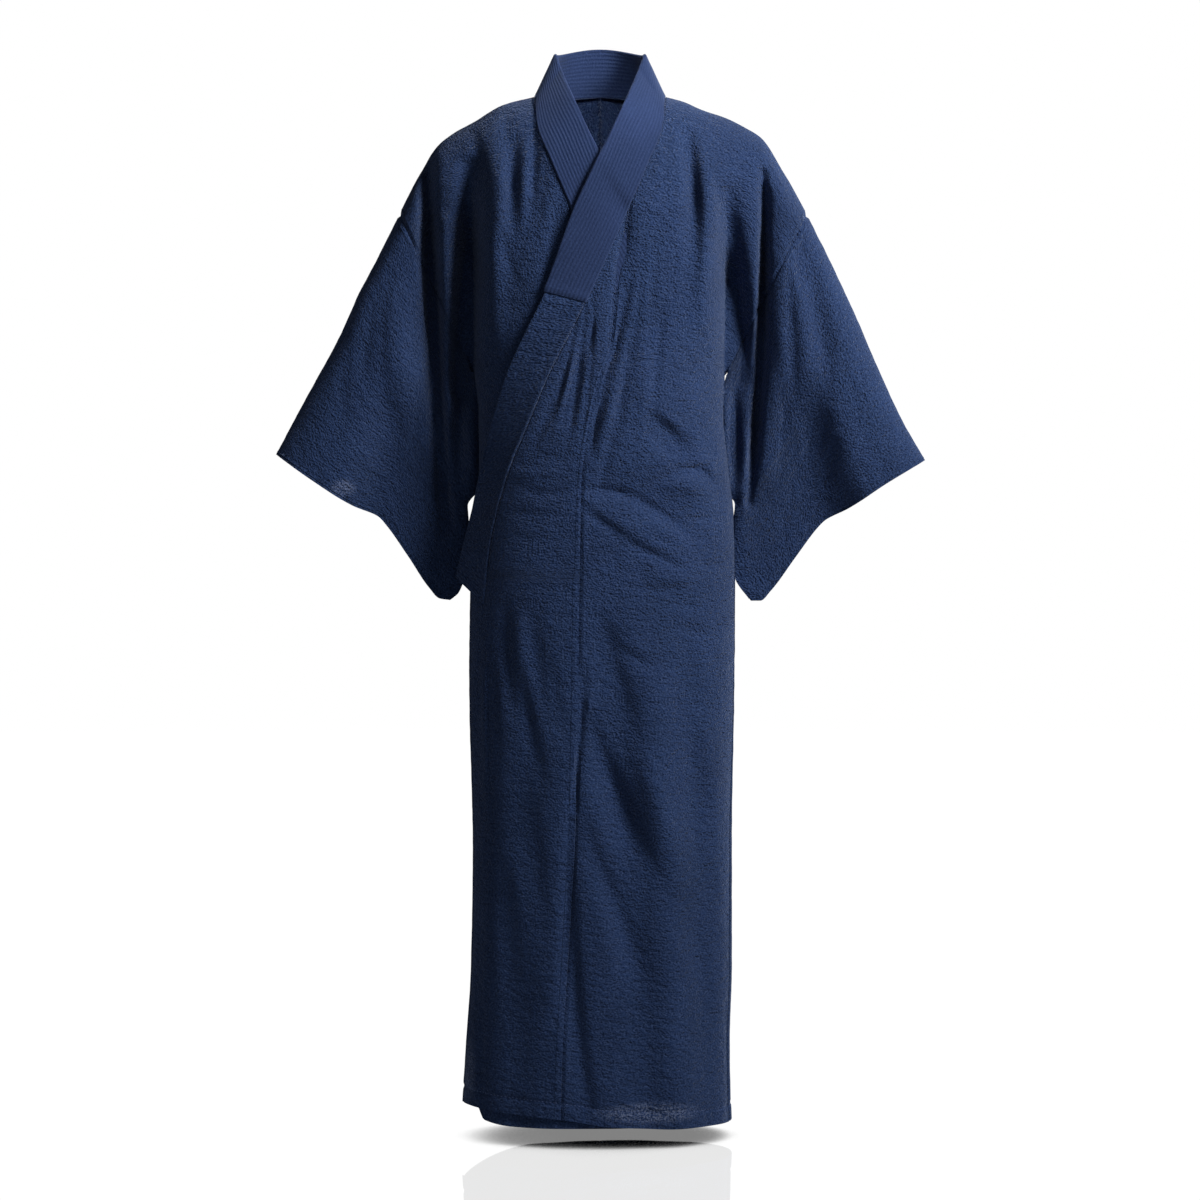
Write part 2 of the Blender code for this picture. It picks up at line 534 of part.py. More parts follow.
def lower_rows(side, back, first_shares):
    """x, z and the angle of the rows below the underarm, from evenly crowded columns to even ones."""
    waist = WAIST_SHARE * np.linspace(0, 1, WAIST_ROWS + 1)[1:]
    skirt = WAIST_SHARE + (1 - WAIST_SHARE) * np.linspace(0, 1, SKIRT_ROWS + 1)[1:]
    down = np.concatenate((waist, skirt))[:, None]
    even = np.linspace(0, 1, PANEL_COLUMNS + 1)[None, :]
    level = UNDERARM_Z + (HEM_Z - UNDERARM_Z) * down
    shares = first_shares[None, :] + (even - first_shares[None, :]) * smooth(down / 0.35)
    seam = side_seam_turn(level)
    if back:
        turn = shares * (np.pi - seam)
        growth = 0.0
    else:
        growth = layer_gap(level) * side
        start = turn_of(panel_inner_x(level, side), level, side, growth)
        turn = start + (seam - start) * shares
    z = UNDERARM_Z + (hem_height(x_of(turn, level, side, growth), side, back) - UNDERARM_Z) * down
    if not back:
        start = turn_of(panel_inner_x(z[:, :1], side), z[:, :1], side, growth)
        turn = start + (seam - start) * shares
    return x_of(turn, z, side, growth), z, turn


def body_panel(side):
    """Points of one body panel: rows from the front hem over the shoulder to the back hem."""
    sheets = []
    for back in (False, True):
        upper_x, upper_z, shares = upper_rows(side, back)
        lower_x, lower_z, turn = lower_rows(side, back, shares)
        x = np.vstack((upper_x, lower_x))
        z = np.vstack((upper_z, lower_z))
        own_face = np.vstack((np.ones_like(upper_x), turn <= np.pi / 2)) > 0
        if back:
            y = np.where(own_face, back_y(x, z), front_y(x, z, side))
        else:
            y = front_y(x, z, side)
        sheets.append(np.stack((x, y, z), axis=-1))
    front, rear = sheets
    return np.vstack((front[::-1], rear[1:]))


def okumi_strip(side):
    """Points of a front strip: from its point under the collar to the hem, rows from its seam to its free edge.

    Its rows are those of the body panel, so that both share the seam's points. Down to the collar's end the
    free edge is the collar's seam. From there it is the open front edge.
    """
    top, sewn_end = OKUMI_SEAM[0, 1], COLLAR_FRONT[-1, BAND_SEAM_Z]
    rows = len(ring_ways(side, (0.0,), False)[0]) + WAIST_ROWS + SKIRT_ROWS
    seam_z = body_panel(side)[rows - 1 :: -1, 0, 2]
    seam_z = seam_z[seam_z < top - 0.001]
    point_z = top + (seam_z[0] - top) * 0.1
    seam_z = np.sort(np.concatenate((seam_z, (point_z, sewn_end, sewn_end - 0.012))))[::-1]
    sewn = seam_z >= sewn_end
    edge_top = COLLAR_END_Z[side]
    hem = OVER_HEM[0, 1] if side == LEFT else HEM_Z
    down = (seam_z - sewn_end) / (seam_z[-1] - sewn_end)
    edge_z = np.where(sewn, seam_z, edge_top + (hem - edge_top) * down)
    growth = layer_gap(edge_z) * side
    edge_turn = OVER_EDGE_ANGLE if side == LEFT else UNDER_EDGE_ANGLE
    edge_x = np.where(sewn, collar_seam_x(edge_z, side), x_of(-edge_turn, edge_z, side, growth))
    seam_turn = turn_of(okumi_seam_x(seam_z, side), seam_z, side, growth)[:, None]
    far_turn = turn_of(edge_x, edge_z, side, growth)[:, None]
    share = np.linspace(0, 1, STRIP_COLUMNS + 1)[None, :]
    z = seam_z[:, None] + (edge_z - seam_z)[:, None] * share
    x = x_of(seam_turn + (far_turn - seam_turn) * share, z, side, growth[:, None])
    x[:, 0] = okumi_seam_x(seam_z, side)
    z[-1] = hem_height(x[-1], side, False)
    return np.stack((x, front_y(x, z, side), z), axis=-1)


def sleeve_depth(along, way):
    """Half thickness of the sleeve, rounded off at the top outline and at the bottom fold."""
    at_arm = through(way, SLEEVE_THICKNESS[:, SLEEVE_WAY], SLEEVE_THICKNESS[:, SLEEVE_AT_ARM])
    at_wrist = through(way, SLEEVE_THICKNESS[:, SLEEVE_WAY], SLEEVE_THICKNESS[:, SLEEVE_AT_WRIST])
    thick = at_arm + (at_wrist - at_arm) * smooth(along)
    top_round = np.sqrt(1 - (1 - np.clip(way / 0.14, 0, 1)) ** 2)
    fold_round = np.sqrt(1 - (1 - np.clip((1 - way) / 0.08, 0, 1)) ** 2)
    return thick * top_round * fold_round


def sleeve_face(side, back):
    """Points of a sleeve's front or back, a row for each ring, from the top outline to the bottom fold.

    The depth is the armhole's near the body and the sleeve's own thickness further out.
    """
    alongs = np.linspace(0, 1, SLEEVE_STATIONS + 1)
    way = ring_ways(side, alongs, back)
    along = np.broadcast_to(alongs[:, None], way.shape)
    patch = sleeve_patch(side, along, way)
    x, z = patch[..., 0], patch[..., 1]
    depth = sleeve_depth(along, way)
    own = fold_depth(depth, x, z, BACK_FOLDS if back else FRONT_FOLDS)
    sewn = smooth((along - 0.25) / 0.75) * smooth(1 + (way - CUFF_OPENING_SHARE) / CUFF_TAPER)
    own = own * (1 - sewn) + CUFF_SEWN_THICKNESS / 2 * sewn * (depth > 0)
    at_armhole = back_y(x, z) if back else -front_y(x, z, side)
    leaving = smooth(along / 0.45)
    half = at_armhole * (1 - leaving) + own * leaving
    middle = SLEEVE_HANG_BACK * smooth(along / 0.7) * smooth((way - 0.2) / 0.7)
    return np.stack((x, middle + (half if back else -half), z), axis=-1)


def sleeve_tube(side):
    """Points of a sleeve: rings from the armhole to the wrist, each down the front and up the back."""
    front, back = sleeve_face(side, False), sleeve_face(side, True)
    return np.concatenate((front, back[:, -2:0:-1]), axis=1)


def collar_lines(side):
    """Seam edge and free edge of half a collar band, from the centre back down the front.

    Round the back of the neck both edges follow ellipses in plan. In front they lie on the front's surface.
    """
    turn = np.linspace(0, np.pi / 2, NECK_STATIONS + 1)[:-1]
    back_x = side * NECK_HALF * np.sin(turn)
    back_z = neckline_z(back_x)
    back_seam = np.stack((back_x, back_y(back_x, back_z), back_z), axis=-1)
    rise = COLLAR_BACK_Z - COLLAR_SIDE_Z
    free_x, free_y = side * COLLAR_NECK_HALF * np.sin(turn), COLLAR_BACK_Y * np.cos(turn)
    back_free = np.stack((free_x, free_y, COLLAR_SIDE_Z + rise * np.cos(turn) ** 2), axis=-1)
    row = BAND_ROWS
    rows = np.arange(len(COLLAR_FRONT))
    seam_x, seam_z, free_x, free_z = (through(row, rows, COLLAR_FRONT[:, column]) for column in range(4))
    seam = np.stack((side * seam_x, front_y(side * seam_x, seam_z, side), seam_z), axis=-1)
    if side == RIGHT:
        reach = half_width(LEFT, free_z) - layer_gap(free_z)
        free_x = np.maximum(free_x, -reach * np.sin(UNDER_EDGE_ANGLE + 0.06))
    beside_neck = smooth(row / 2)
    free_y = front_y(side * free_x, free_z, side) * beside_neck - NECK_FREE_SLOPE * row * (1 - beside_neck)
    if side == LEFT:
        free_y = np.where(row > len(rows) / 2, np.minimum(free_y, -BAND_END_STAND), free_y)
    free = np.stack((side * free_x, free_y, free_z), axis=-1)
    return np.concatenate((back_seam, seam)), np.concatenate((back_free, free))


def unit(vectors):
    return vectors / np.linalg.norm(vectors, axis=-1, keepdims=True)


def grid_normals(points, closed=False):
    """Normal of the grid at each point, from the differences along its rows and columns."""
    down = np.gradient(points, axis=0)
    if closed:
        across = (np.roll(points, -1, axis=1) - np.roll(points, 1, axis=1)) / 2
    else:
        across = np.gradient(points, axis=1)
    return unit(np.cross(down, across))


def outward(points, normals):
    """The normals, all turned away from the upright middle plane of the garment."""
    row, column = len(points) // 5, points.shape[1] // 3
    facing = normals[row, column, 1] * points[row, column, 1]
    return normals if facing > 0 else -normals


def draw_in(grid, edge, distance):
    """Moves an edge column or row of a grid towards its neighbour, in the surface."""
    first, second = {
        "first column": (np.s_[:, 0], np.s_[:, 1]),
        "last column": (np.s_[:, -1], np.s_[:, -2]),
        "first row": (np.s_[0], np.s_[1]),
    }[edge]
    grid[first] += unit(grid[second] - grid[first]) * distance


def add_material(name, colour, roughness):
    material = bpy.data.materials.new(name)
    material.use_nodes = True
    shader = material.node_tree.nodes["Principled BSDF"]
    shader.inputs["Base Color"].default_value = (*colour, 1.0)
    shader.inputs["Roughness"].default_value = roughness
    shader.inputs["Metallic"].default_value = 0.0
    return material


def signed_volume(points, triangles):
    """Volume inside the triangles, negative when they face inwards."""
    a, b, c = (points[triangles[:, k]] for k in range(3))
    return np.sum(a * np.cross(b, c)) / 6


def shorter_is_other(grid):
    """True for each cell of a grid of points whose shorter diagonal isn't the one from its first corner."""
    first = np.linalg.norm(grid[1:, 1:] - grid[:-1, :-1], axis=-1)
    other = np.linalg.norm(grid[1:, :-1] - grid[:-1, 1:], axis=-1)
    return other < first


def grid_triangles(corners, other_way):
    """Two triangles for each cell of a grid of point numbers. Cells marked other_way split the other way."""
    a, b, c, d = corners[:-1, :-1], corners[1:, :-1], corners[1:, 1:], corners[:-1, 1:]
    one_way = np.stack((a, b, c, a, c, d), axis=-1)
    turned = np.stack((a, b, d, b, c, d), axis=-1)
    return np.where(other_way[..., None], turned, one_way).reshape(-1, 3)


def wall(name, outer, inner, material, closed=False, other_way=None):
    """A closed wall between two grids of the same shape. A closed grid joins its last column to its first.

    Both grids split their cells along the same diagonals, so that the wall keeps its thickness.
    """
    rows, columns = outer.shape[:2]
    points = np.concatenate((outer.reshape(-1, 3), inner.reshape(-1, 3)))
    near = np.arange(rows * columns).reshape(rows, columns)
    if closed:
        near = np.concatenate((near, near[:, :1]), axis=1)
    far = near + rows * columns
    if other_way is None:
        other_way = shorter_is_other(np.concatenate((outer, outer[:, :1]), axis=1) if closed else outer)
    rims = [np.stack((near[0], far[0])), np.stack((far[-1], near[-1]))]
    if not closed:
        rims += [np.stack((far[:, 0], near[:, 0])), np.stack((near[:, -1], far[:, -1]))]
    faces = [grid_triangles(near, other_way), grid_triangles(far, other_way)[:, ::-1]]
    faces += [grid_triangles(rim, np.array(False))[:, ::-1] for rim in rims]
    faces = np.concatenate(faces)
    if signed_volume(points, faces) < 0:
        faces = faces[:, ::-1]
    mesh = bpy.data.meshes.new(name)
    mesh.from_pydata(points.tolist(), [], faces.tolist())
    mesh.materials.append(material)
    mesh.shade_smooth()
    mesh.set_sharp_from_angle(angle=np.radians(50))
    thing = bpy.data.objects.new(name, mesh)
    bpy.context.scene.collection.objects.link(thing)
    return thing


def cloth_wall(name, grid, material, closed=False):
    """A cloth wall inside the grid of outer points."""
    inner = grid - outward(grid, grid_normals(grid, closed)) * CLOTH_WALL
    return wall(name, grid, inner, material, closed)


def build_body(side, name, material):
    grid = body_panel(side)
    draw_in(grid, "first column", SEAM_GAP)
    draw_in(grid, "last column", SEAM_GAP)
    return cloth_wall(name, grid, material)


def build_okumi(side, name, material):
    grid = okumi_strip(side)
    draw_in(grid, "first column", SEAM_GAP / 2)
    draw_in(grid, "last column", SEAM_GAP * 2)
    return cloth_wall(name, grid, material)


def build_sleeve(side, name, material):
    grid = sleeve_tube(side)
    draw_in(grid, "first row", SEAM_GAP * 3)
    return cloth_wall(name, grid, material, closed=True)


def whole_band():
    """Seam edge, free edge and outer normal of the band from the right front's end to the left front's end."""
    right_seam, right_free = collar_lines(RIGHT)
    left_seam, left_free = collar_lines(LEFT)
    seam = np.concatenate((right_seam[:0:-1], left_seam))
    free = np.concatenate((right_free[:0:-1], left_free))
    normal = unit(np.cross(np.gradient((seam + free) / 2, axis=0), free - seam))
    centre_back = len(right_seam) - 1
    if normal[centre_back, 1] < 0:
        normal = -normal
    covered = NECK_STATIONS + np.searchsorted(BAND_ROWS, COVER_END_ROW)
    return seam, free, normal, np.s_[centre_back - covered : centre_back + covered + 1]


def band_points(seam, free, normal, section):
    """Points of a band: for each row of the section, a share of the way across and a height off the middle."""
    rows = [seam + (free - seam) * share + normal * height for share, height in section]
    return np.stack(rows, axis=1)


def build_collar(name, material):
    """The band: a flat folded wall, its seam edge drawn in from the body by the gap."""
    seam, free, normal, covered = whole_band()
    at_neck = np.zeros((len(seam), 1))
    at_neck[covered] = NECK_LIFT
    seam = seam + unit(free - seam) * (SEAM_GAP + at_neck)
    half = COLLAR_WALL / 2
    outer = band_points(seam, free, normal, ((0.0, half), (0.5, half), (1.0, half)))
    inner = band_points(seam, free, normal, ((0.0, -half), (0.5, -half), (1.0, -half)))
    return wall(name, outer, inner, material, other_way=np.array(False))


def build_cover(name, material):
    """The cover collar: a thin cloth folded over the free edge of the band and down both its faces."""
    seam, free, normal, covered = whole_band()
    seam, free, normal = seam[covered], free[covered], normal[covered]
    near = COLLAR_WALL / 2 + COVER_GAP
    far = near + COVER_WALL
    inside = [(s, near) for s in (0.05, 0.5, 1.010)] + [(s, -near) for s in (1.010, 0.5, 0.05)]
    outside = [(s, far) for s in (0.05, 0.5, 1.030)] + [(s, -far) for s in (1.030, 0.5, 0.05)]
    outer = band_points(seam, free, normal, outside)
    inner = band_points(seam, free, normal, inside)
    back_face = np.arange(len(inside) - 1) > 2
    return wall(name, outer, inner, material, other_way=back_face)


def main():
    for thing in list(bpy.data.objects):
        bpy.data.objects.remove(thing)
    cloth = add_material("yukata_cotton", (0.018, 0.030, 0.085), 0.85)
    band = add_material("collar_cotton", (0.016, 0.027, 0.078), 0.80)
    for side, word in ((LEFT, "left"), (RIGHT, "right")):
        build_body(side, "body_" + word, cloth)
        build_okumi(side, "okumi_" + word, cloth)
        build_sleeve(side, "sleeve_" + word, cloth)
    build_collar("collar", band)
    build_cover("collar_cover", band)


main()
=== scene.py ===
"""Looks of a men's cotton yukata robe, worn left over right with no sash, in metres, +Z up, front at -Y.

Each cut piece is a thin shell of crepe cloth on the surface of its solid. The cloth is two surfaces,
y = front(x, z) and y = back(x, z), that meet along the shoulders, the sleeves and the sides. Creases are
troughs and ridges placed one by one on them, and the pucker of the crepe stands along their normals.
"""

import bpy
import numpy as np
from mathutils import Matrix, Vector


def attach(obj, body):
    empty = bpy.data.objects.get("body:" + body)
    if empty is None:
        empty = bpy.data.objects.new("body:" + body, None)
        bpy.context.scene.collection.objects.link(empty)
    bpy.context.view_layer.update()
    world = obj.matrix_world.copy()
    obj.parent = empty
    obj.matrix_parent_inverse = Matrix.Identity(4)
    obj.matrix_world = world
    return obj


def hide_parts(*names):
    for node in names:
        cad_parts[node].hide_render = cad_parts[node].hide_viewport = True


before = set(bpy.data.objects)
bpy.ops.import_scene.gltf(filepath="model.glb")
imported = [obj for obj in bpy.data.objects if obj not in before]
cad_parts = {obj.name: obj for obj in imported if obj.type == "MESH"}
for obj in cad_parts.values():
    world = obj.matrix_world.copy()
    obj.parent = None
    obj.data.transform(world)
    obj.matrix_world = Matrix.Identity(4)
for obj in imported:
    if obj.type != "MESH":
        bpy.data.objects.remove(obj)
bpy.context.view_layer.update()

RIGHT, LEFT = -1, 1  # the wearer's right is at -X

# Sizes of the garment, in metres.
LAYER_GAP = 0.0078  # the over front stands this far in front of the under front, where a collar lies between
SKIRT_GAP = 0.0045  # and this far in front below the collars' ends
GAP_FROM_Z, GAP_FALL = -1.10, 0.40  # the gap widens over this height
GAP_MIDDLE, GAP_WIDTH = 0.165, 0.33  # and away from the panel's own side
NECK_HALF, NECK_DOME = 0.088, 0.050
NECK_SHARE = 0.24  # the back neckline takes this share of the panel's height above the underarm
NECKLINE_BEND = 0.6  # power that spreads its stations
UNDERARM_Z = -0.380
UNDERARM_X = {RIGHT: 0.178, LEFT: 0.176}
ARMHOLE_TOP_X = {RIGHT: 0.277, LEFT: 0.286}
ARMHOLE_MIDDLE = {RIGHT: (0.229, -0.266), LEFT: (0.233, -0.266)}
BODY_SQUARENESS = 2.25
FRONT_TURNS_IN, BACK_TURNS_IN = 2.2, 1.3  # powers by which the shoulders' depth turns into the body's
SEAM_FORWARD = 0.8  # below the arms the side seam comes forward over this height
GROWTH_FADE = 0.09  # below the top outline the gap between the fronts opens over this height
SIDE_SEAM_AT_HEM = 1.36  # angles from the front, in radians
OVER_EDGE_ANGLE, UNDER_EDGE_ANGLE = 1.40, 1.22
UNDER_COLLAR_ANGLE = UNDER_EDGE_ANGLE + 0.06
CUFF_OPENING_SHARE, CUFF_TAPER = 0.47, 0.22
CUFF_SEWN_THICKNESS = 0.0044
CUFF_CLOSES, CUFF_CLOSES_FROM, CUFF_CLOSES_OVER = 0.62, 0.96, 0.03  # its two faces meet along the last rings
CUFF_SEWN_FROM, CUFF_SEWN_OVER = 0.40, 0.08  # share of the way from which the cloth thins, and over which
SLEEVE_LENGTH = 0.30
SLEEVE_TOP_ROUND, SLEEVE_FOLD_ROUND = 0.14, 0.08  # shares of the way that its edges' rounding takes
SLEEVE_LEAVES_BODY = 0.45  # share of its length over which the body's depth turns into its own
SLEEVE_FLAT_FROM = 0.25  # share of its length from which its lower part lies flat
SLEEVE_HANG_BACK = 0.018
HANG_FROM, HANG_OVER = 0.2, 0.7
COLLAR_NECK_HALF, COLLAR_BACK_Y = 0.0615, 0.062
COLLAR_SIDE_Z, COLLAR_BACK_Z, COLLAR_BACK_SEAM_Z = 0.057, 0.0735, 0.010
NECK_FREE_SLOPE = 0.055
BAND_END_STAND = 0.022
COVER_END_ROW = 5  # the cover collar ends at this row of the collar's table
STRIP_FREE_Z = -0.648  # behind the collar's end, where the strip's edge leaves the collar's seam
STRIP_LEAVES = 0.022  # over this height
STRIP_STARTS = 0.006  # its point lies this far below the start of its seam
STRIP_FREE_FALL = 0.010
STRIP_HEM_SHARE = 0.1  # its lowest share follows the hem
STRIP_BEHIND, BEHIND_OVER_X, BEHIND_OVER_Z = 0.0024, 0.004, 0.012  # it slips behind the collar

# The cloth and its sewing.
CLOTH = 0.0006  # one layer of crepe cloth
THINNEST_CLOTH, SEWN_FILL = 0.0002, 0.7  # between sewn faces the cloth fills this share of the half
HEM_EXTRA, HEM_RISE = 0.0014, 0.0007  # a turned hem is this much thicker and stands this far out
HEM_TURN, CUFF_TURN, EDGE_TURN, COVER_TURN = 0.021, 0.011, 0.009, 0.009
TURN_FALL = 0.0015  # a turned edge thins out over this distance
HEM_ROWS = np.array((HEM_TURN + 0.0014, HEM_TURN - 0.0014, 0.0012))  # grid rows this far above the hem
STITCH_DENT, STITCH_DENT_HALF = 0.0015, 0.0024
STITCH_RADIUS, STITCH_PITCH, STITCH_LENGTH = 0.00042, 0.0055, 0.0034
HEM_COLUMN, CUFF_COLUMN = 30, 10  # columns on which the row of the stitches is measured
SEAM_ROLL, SEAM_DEPTH = 0.0026, 0.0026  # a seam edge rolls in over this distance, and by this much
# shares of it by which the three columns at a seam are pressed: at a sewn edge, a raised edge and a sleeve's
SEAM_ROLLS, RAISED_ROLLS, SLEEVE_ROLLS = (1.0, 0.30, -0.16), (0.1, -0.32, -0.16), (1.0, 0.22, -0.12)
SEAM_OVERLAP, COLLAR_OVERLAP = 0.0006, 0.0006
FLANGE = 0.003  # seam allowance that stands inwards
COLLAR_WIDTH = 0.11  # of its cloth before it is folded
COLLAR_HALF, COLLAR_ROUND = 0.0014, 0.02  # half its thickness, and the share of its width that rounds it
COLLAR_WELT, WELT_AT, WELT_WIDTH = 0.0009, 0.05, 0.035  # it swells beside the seam
COLLAR_CRUSH, CRUSH_WIDTH = 0.0012, 0.0022  # the cover's ends press it in
COVER_INSIDE, COVER_OUTSIDE = 0.0018, 0.0027
COVER_EXTRA = 0.0008  # its turned-in ends are this much thicker
COVER_LAP = 0.030  # share of the width by which it reaches past the seam
COVER_END_ROLL, COVER_END_SINK = 0.0005, 0.0006

# Folds, creases and pucker.
CREASE_STRENGTH = 2.1
CREASE_REACH = 3.2  # a crease ends this many of its half widths away
CREASE_FADE = 0.030  # creases fade out where the depth is less than this
THINNEST_HALF = 0.20  # folds leave this share of the depth
PUCKER_BEND, PUCKER_FINE, PUCKER_BROAD = 0.006, 0.00034, 0.00042
BEND_CELL, FINE_CELL, BROAD_CELL, CALM_CELL = 0.034, (0.017, 0.0085), (0.048, 0.022), (0.11, 0.13)
QUIET_EDGE, QUIET_SHARE = 0.007, 0.25  # the pucker falls to this share at a seam
CALM_Z, CALM_FALL, CALM_SHARE = -0.75, 0.40, 0.45  # and by this share down the skirt
COLLAR_PUCKER, COVER_PUCKER, PUCKER_EDGE = 0.7, 0.35, 0.12  # less on the collars, with flat edges
LATTICE = 256  # cells of the noise before it comes again

# Cells of the cloth's pattern, across and along it.
GRAIN, RIB = (0.0029, 0.0025, 1.0), (0.010, 0.0046, 1.0)
CRINKLE, PATCH = (0.020, 0.012, 1.0), (0.07, 0.09, 1.0)
COVER_LINE = 0.0053  # from one rib of the cover's cloth to the next
SPECKLE = (1 / 450, 1 / 450, 1 / 450)  # cells of the worn places' specks
GRAIN_BUMP, RIB_BUMP, CRINKLE_BUMP = 0.0036, 0.0024, 0.0030
COVER_LINE_BUMP, COVER_GRAIN_BUMP = 0.00040, 0.00035
SMOOTH_BELOW, SMOOTH_FROM, SMOOTH_SHARE = -1.20, -0.70, 0.45  # the skirt hangs smoother than the chest

# Grid sizes.
UPPER_ROWS, LOWER_ROWS, PANEL_COLUMNS, PANEL_WIDTH = 104, 236, 62, 0.27
STRIP_ROW, STRIP_COLUMNS, STRIP_WIDTH = 0.0044, 34, 0.15
SLEEVE_RINGS, RING_ROWS = 84, 116
WRIST_RINGS = np.array((0.010, 0.0030, 0.0))  # its last rings lie this far from the wrist
NECK_STATIONS = 34
BAND_ROWS = np.linspace(0, 12, 217)
LINE_SAMPLES = 9
FLOOR_CORNERS = 96

# The studio.
FLOOR_Z, FLOOR_RADIUS = -1.432, 14.0
WORLD_LIGHT, FLOOR_LIGHT, FLOOR_GLOSS = 0.055, 0.08, 0.22
WHITE = (1.0, 1.0, 1.0, 1.0)
CAMERA_LENS, CAMERA_SENSOR, CAMERA_PLACE = 97.8, 36.0, (0.0, -4.5, -0.694)
# name, place, aim, size in metres, power in watts and spread of each lamp
LAMPS = (
    ("key", (1.55, -1.30, 0.85), (0.25, 0.0, -0.14), 0.9, 25.5, 1.7),
    ("neck", (0.0, -1.8, 0.9), (0.0, 0.05, -0.03), 0.1, 0.06, 0.16),
    ("fill", (-2.4, -2.8, 0.2), (0.0, 0.0, -0.7), 2.2, 2.6, np.pi),
    ("back", (1.9, 2.3, 1.0), (0.0, 0.0, -0.5), 1.2, 85, np.pi),
)

# Places where light from behind shows through the sheer cloth, painted as a paler speckle: middle and half
# sizes of each.
BACKLIT_PLACES = (
    ((0.069, -0.120, -1.384), (0.085, 0.060, 0.017)),
    ((-0.181, 0.000, -1.335), (0.016, 0.120, 0.055)),
    ((-0.352, -0.030, -0.540), (0.020, 0.040, 0.014)),
    ((-0.080, 0.118, -1.382), (0.070, 0.060, 0.015)),
)


def table(*rows):
    """A table as an array in metres. Every table is in millimetres, and its shares are in thousandths."""
    return np.array(rows, float) / 1000


# Level sections of the body below the arms: how far down, half width right and left, front and back depth.
HALF_WIDTH = {RIGHT: 1, LEFT: 2}
BODY_FRONT, BODY_BACK = 3, 4
BODY_SECTIONS = table(
    (380, 174, 172, 122, 112), (440, 167, 170, 122, 112), (500, 167, 176, 121, 110),
    (580, 169, 184, 119, 108), (680, 173, 186, 119, 110), (830, 175, 185, 121, 114),
    (1020, 172.5, 182, 123, 115), (1200, 175.5, 182, 124, 116), (1300, 182, 179, 125, 118),
    (1410, 189, 181, 126, 120),
)

# The top outline over each shoulder and down the arm, from the neck point to the wrist: x and z.
RIDGE = {
    RIGHT: table(
        (88, 0), (110, -5), (137, -13), (172, -34), (204, -52), (222, -66), (250, -109), (277, -163),
        (305, -219), (333, -272), (359, -330), (407, -418), (447, -493),
    ),
    LEFT: table(
        (88, 0), (114, -7), (145, -20), (174, -30), (202, -44), (221, -56), (254, -106), (286, -164),
        (317, -226), (349, -294), (385, -377), (415, -442), (448.5, -501),
    ),
}

# From the middle out to the arm: x, depth of the front and how far below the top outline it is reached, and
# the same two of the back.
TOP_FRONT, TOP_FRONT_DROP, TOP_BACK, TOP_BACK_DROP = 1, 2, 3, 4
TOP_SECTIONS = table(
    (0, 118, 200, 70, 50), (88, 114, 190, 82, 80), (145, 100, 150, 88, 115), (200, 72, 90, 70, 90),
    (240, 58, 62, 56, 62), (300, 54, 56, 54, 56),
)

# Wrist edge of a sleeve, from its top corner to where the edge meets the bottom fold, as share of the way,
# x and z, and the bottom fold from the underarm to the same corner.
WRIST_EDGE = {
    RIGHT: table(
        (0, 447, -493), (180, 395, -530), (360, 341, -564), (470, 306, -579), (520, 296, -590),
        (680, 266, -633), (880, 236, -678), (950, 222, -692), (1000, 208, -694),
    ),
    LEFT: table(
        (0, 448.5, -501), (180, 392, -535), (360, 342, -568), (470, 311, -584), (520, 301, -594),
        (680, 272, -633), (880, 236, -682), (950, 222, -695), (1000, 209, -695),
    ),
}
SLEEVE_FOLD = {
    RIGHT: table(
        (0, 175, -380), (50, 167.5, -393), (120, 164, -411), (400, 162.5, -505), (520, 169, -542),
        (580, 183, -562), (640, 182, -580), (700, 180, -602), (900, 188, -664), (960, 196, -684),
        (1000, 208, -694),
    ),
    LEFT: table(
        (0, 176, -380), (120, 167.2, -411), (450, 171.5, -522), (520, 175.5, -543), (580, 186.8, -562),
        (660, 185, -585), (830, 185.5, -640), (900, 187.2, -664), (960, 200, -684), (1000, 209, -695),
    ),
}
# Half thickness of the sleeve along the wrist edge: share of the way, near the armhole and at the wrist.
SLEEVE_AT_ARM, SLEEVE_AT_WRIST = 1, 2
SLEEVE_THICKNESS = table(
    (0, 50, 36), (200, 54, 36), (450, 44, 22), (550, 36, 14), (800, 30, 14), (1000, 26, 14),
)

# Collar band of the over front, from the neck point down: x and z of its sewn edge and of its free edge.
# The under front's collar is its mirror image.
COLLAR_FRONT = table(
    (88, 0, 61.5, 57), (83.2, -50, 43.9, 4), (65, -100, 23, -48), (40.5, -158, -1.3, -99),
    (12.1, -223, -32.3, -165), (-20.2, -294, -74, -279.7), (-39, -332, -96, -324),
    (-67.3, -387, -125, -384.6), (-96.9, -456, -148, -454.7), (-123, -518, -164, -520),
    (-139.6, -573, -176, -572), (-150.6, -628, -188, -619), (-157.5, -700, -198, -662.6),
)

# Seam between the front panel and the front strip, from the collar to the hem, on the over front: x and z.
STRIP_SEAM = table(
    (40.5, -158), (30, -215), (20.2, -277), (13.5, -352), (-1.3, -393), (-17.5, -469), (-25.6, -538),
    (-28.3, -686), (-29.6, -813), (-33, -970), (-43, -1164), (-51.1, -1310), (-54, -1410),
)

# Hem height over x, from the wearer's right to the left, of the over front, the under front and the back.
HEM_Z = -1.404
FRONT_HEM = {
    LEFT: table((-190, -1381), (-110, -1388), (-50, -1392), (10, -1401), (90, -1406), (180, -1408)),
    RIGHT: table((-190, -1372), (-168, -1381), (-157, -1399), (-110, -1405), (0, -1404), (180, -1404)),
}
BACK_HEM = table((-190, -1374), (-150, -1390), (-90, -1402), (0, -1404), (180, -1408))

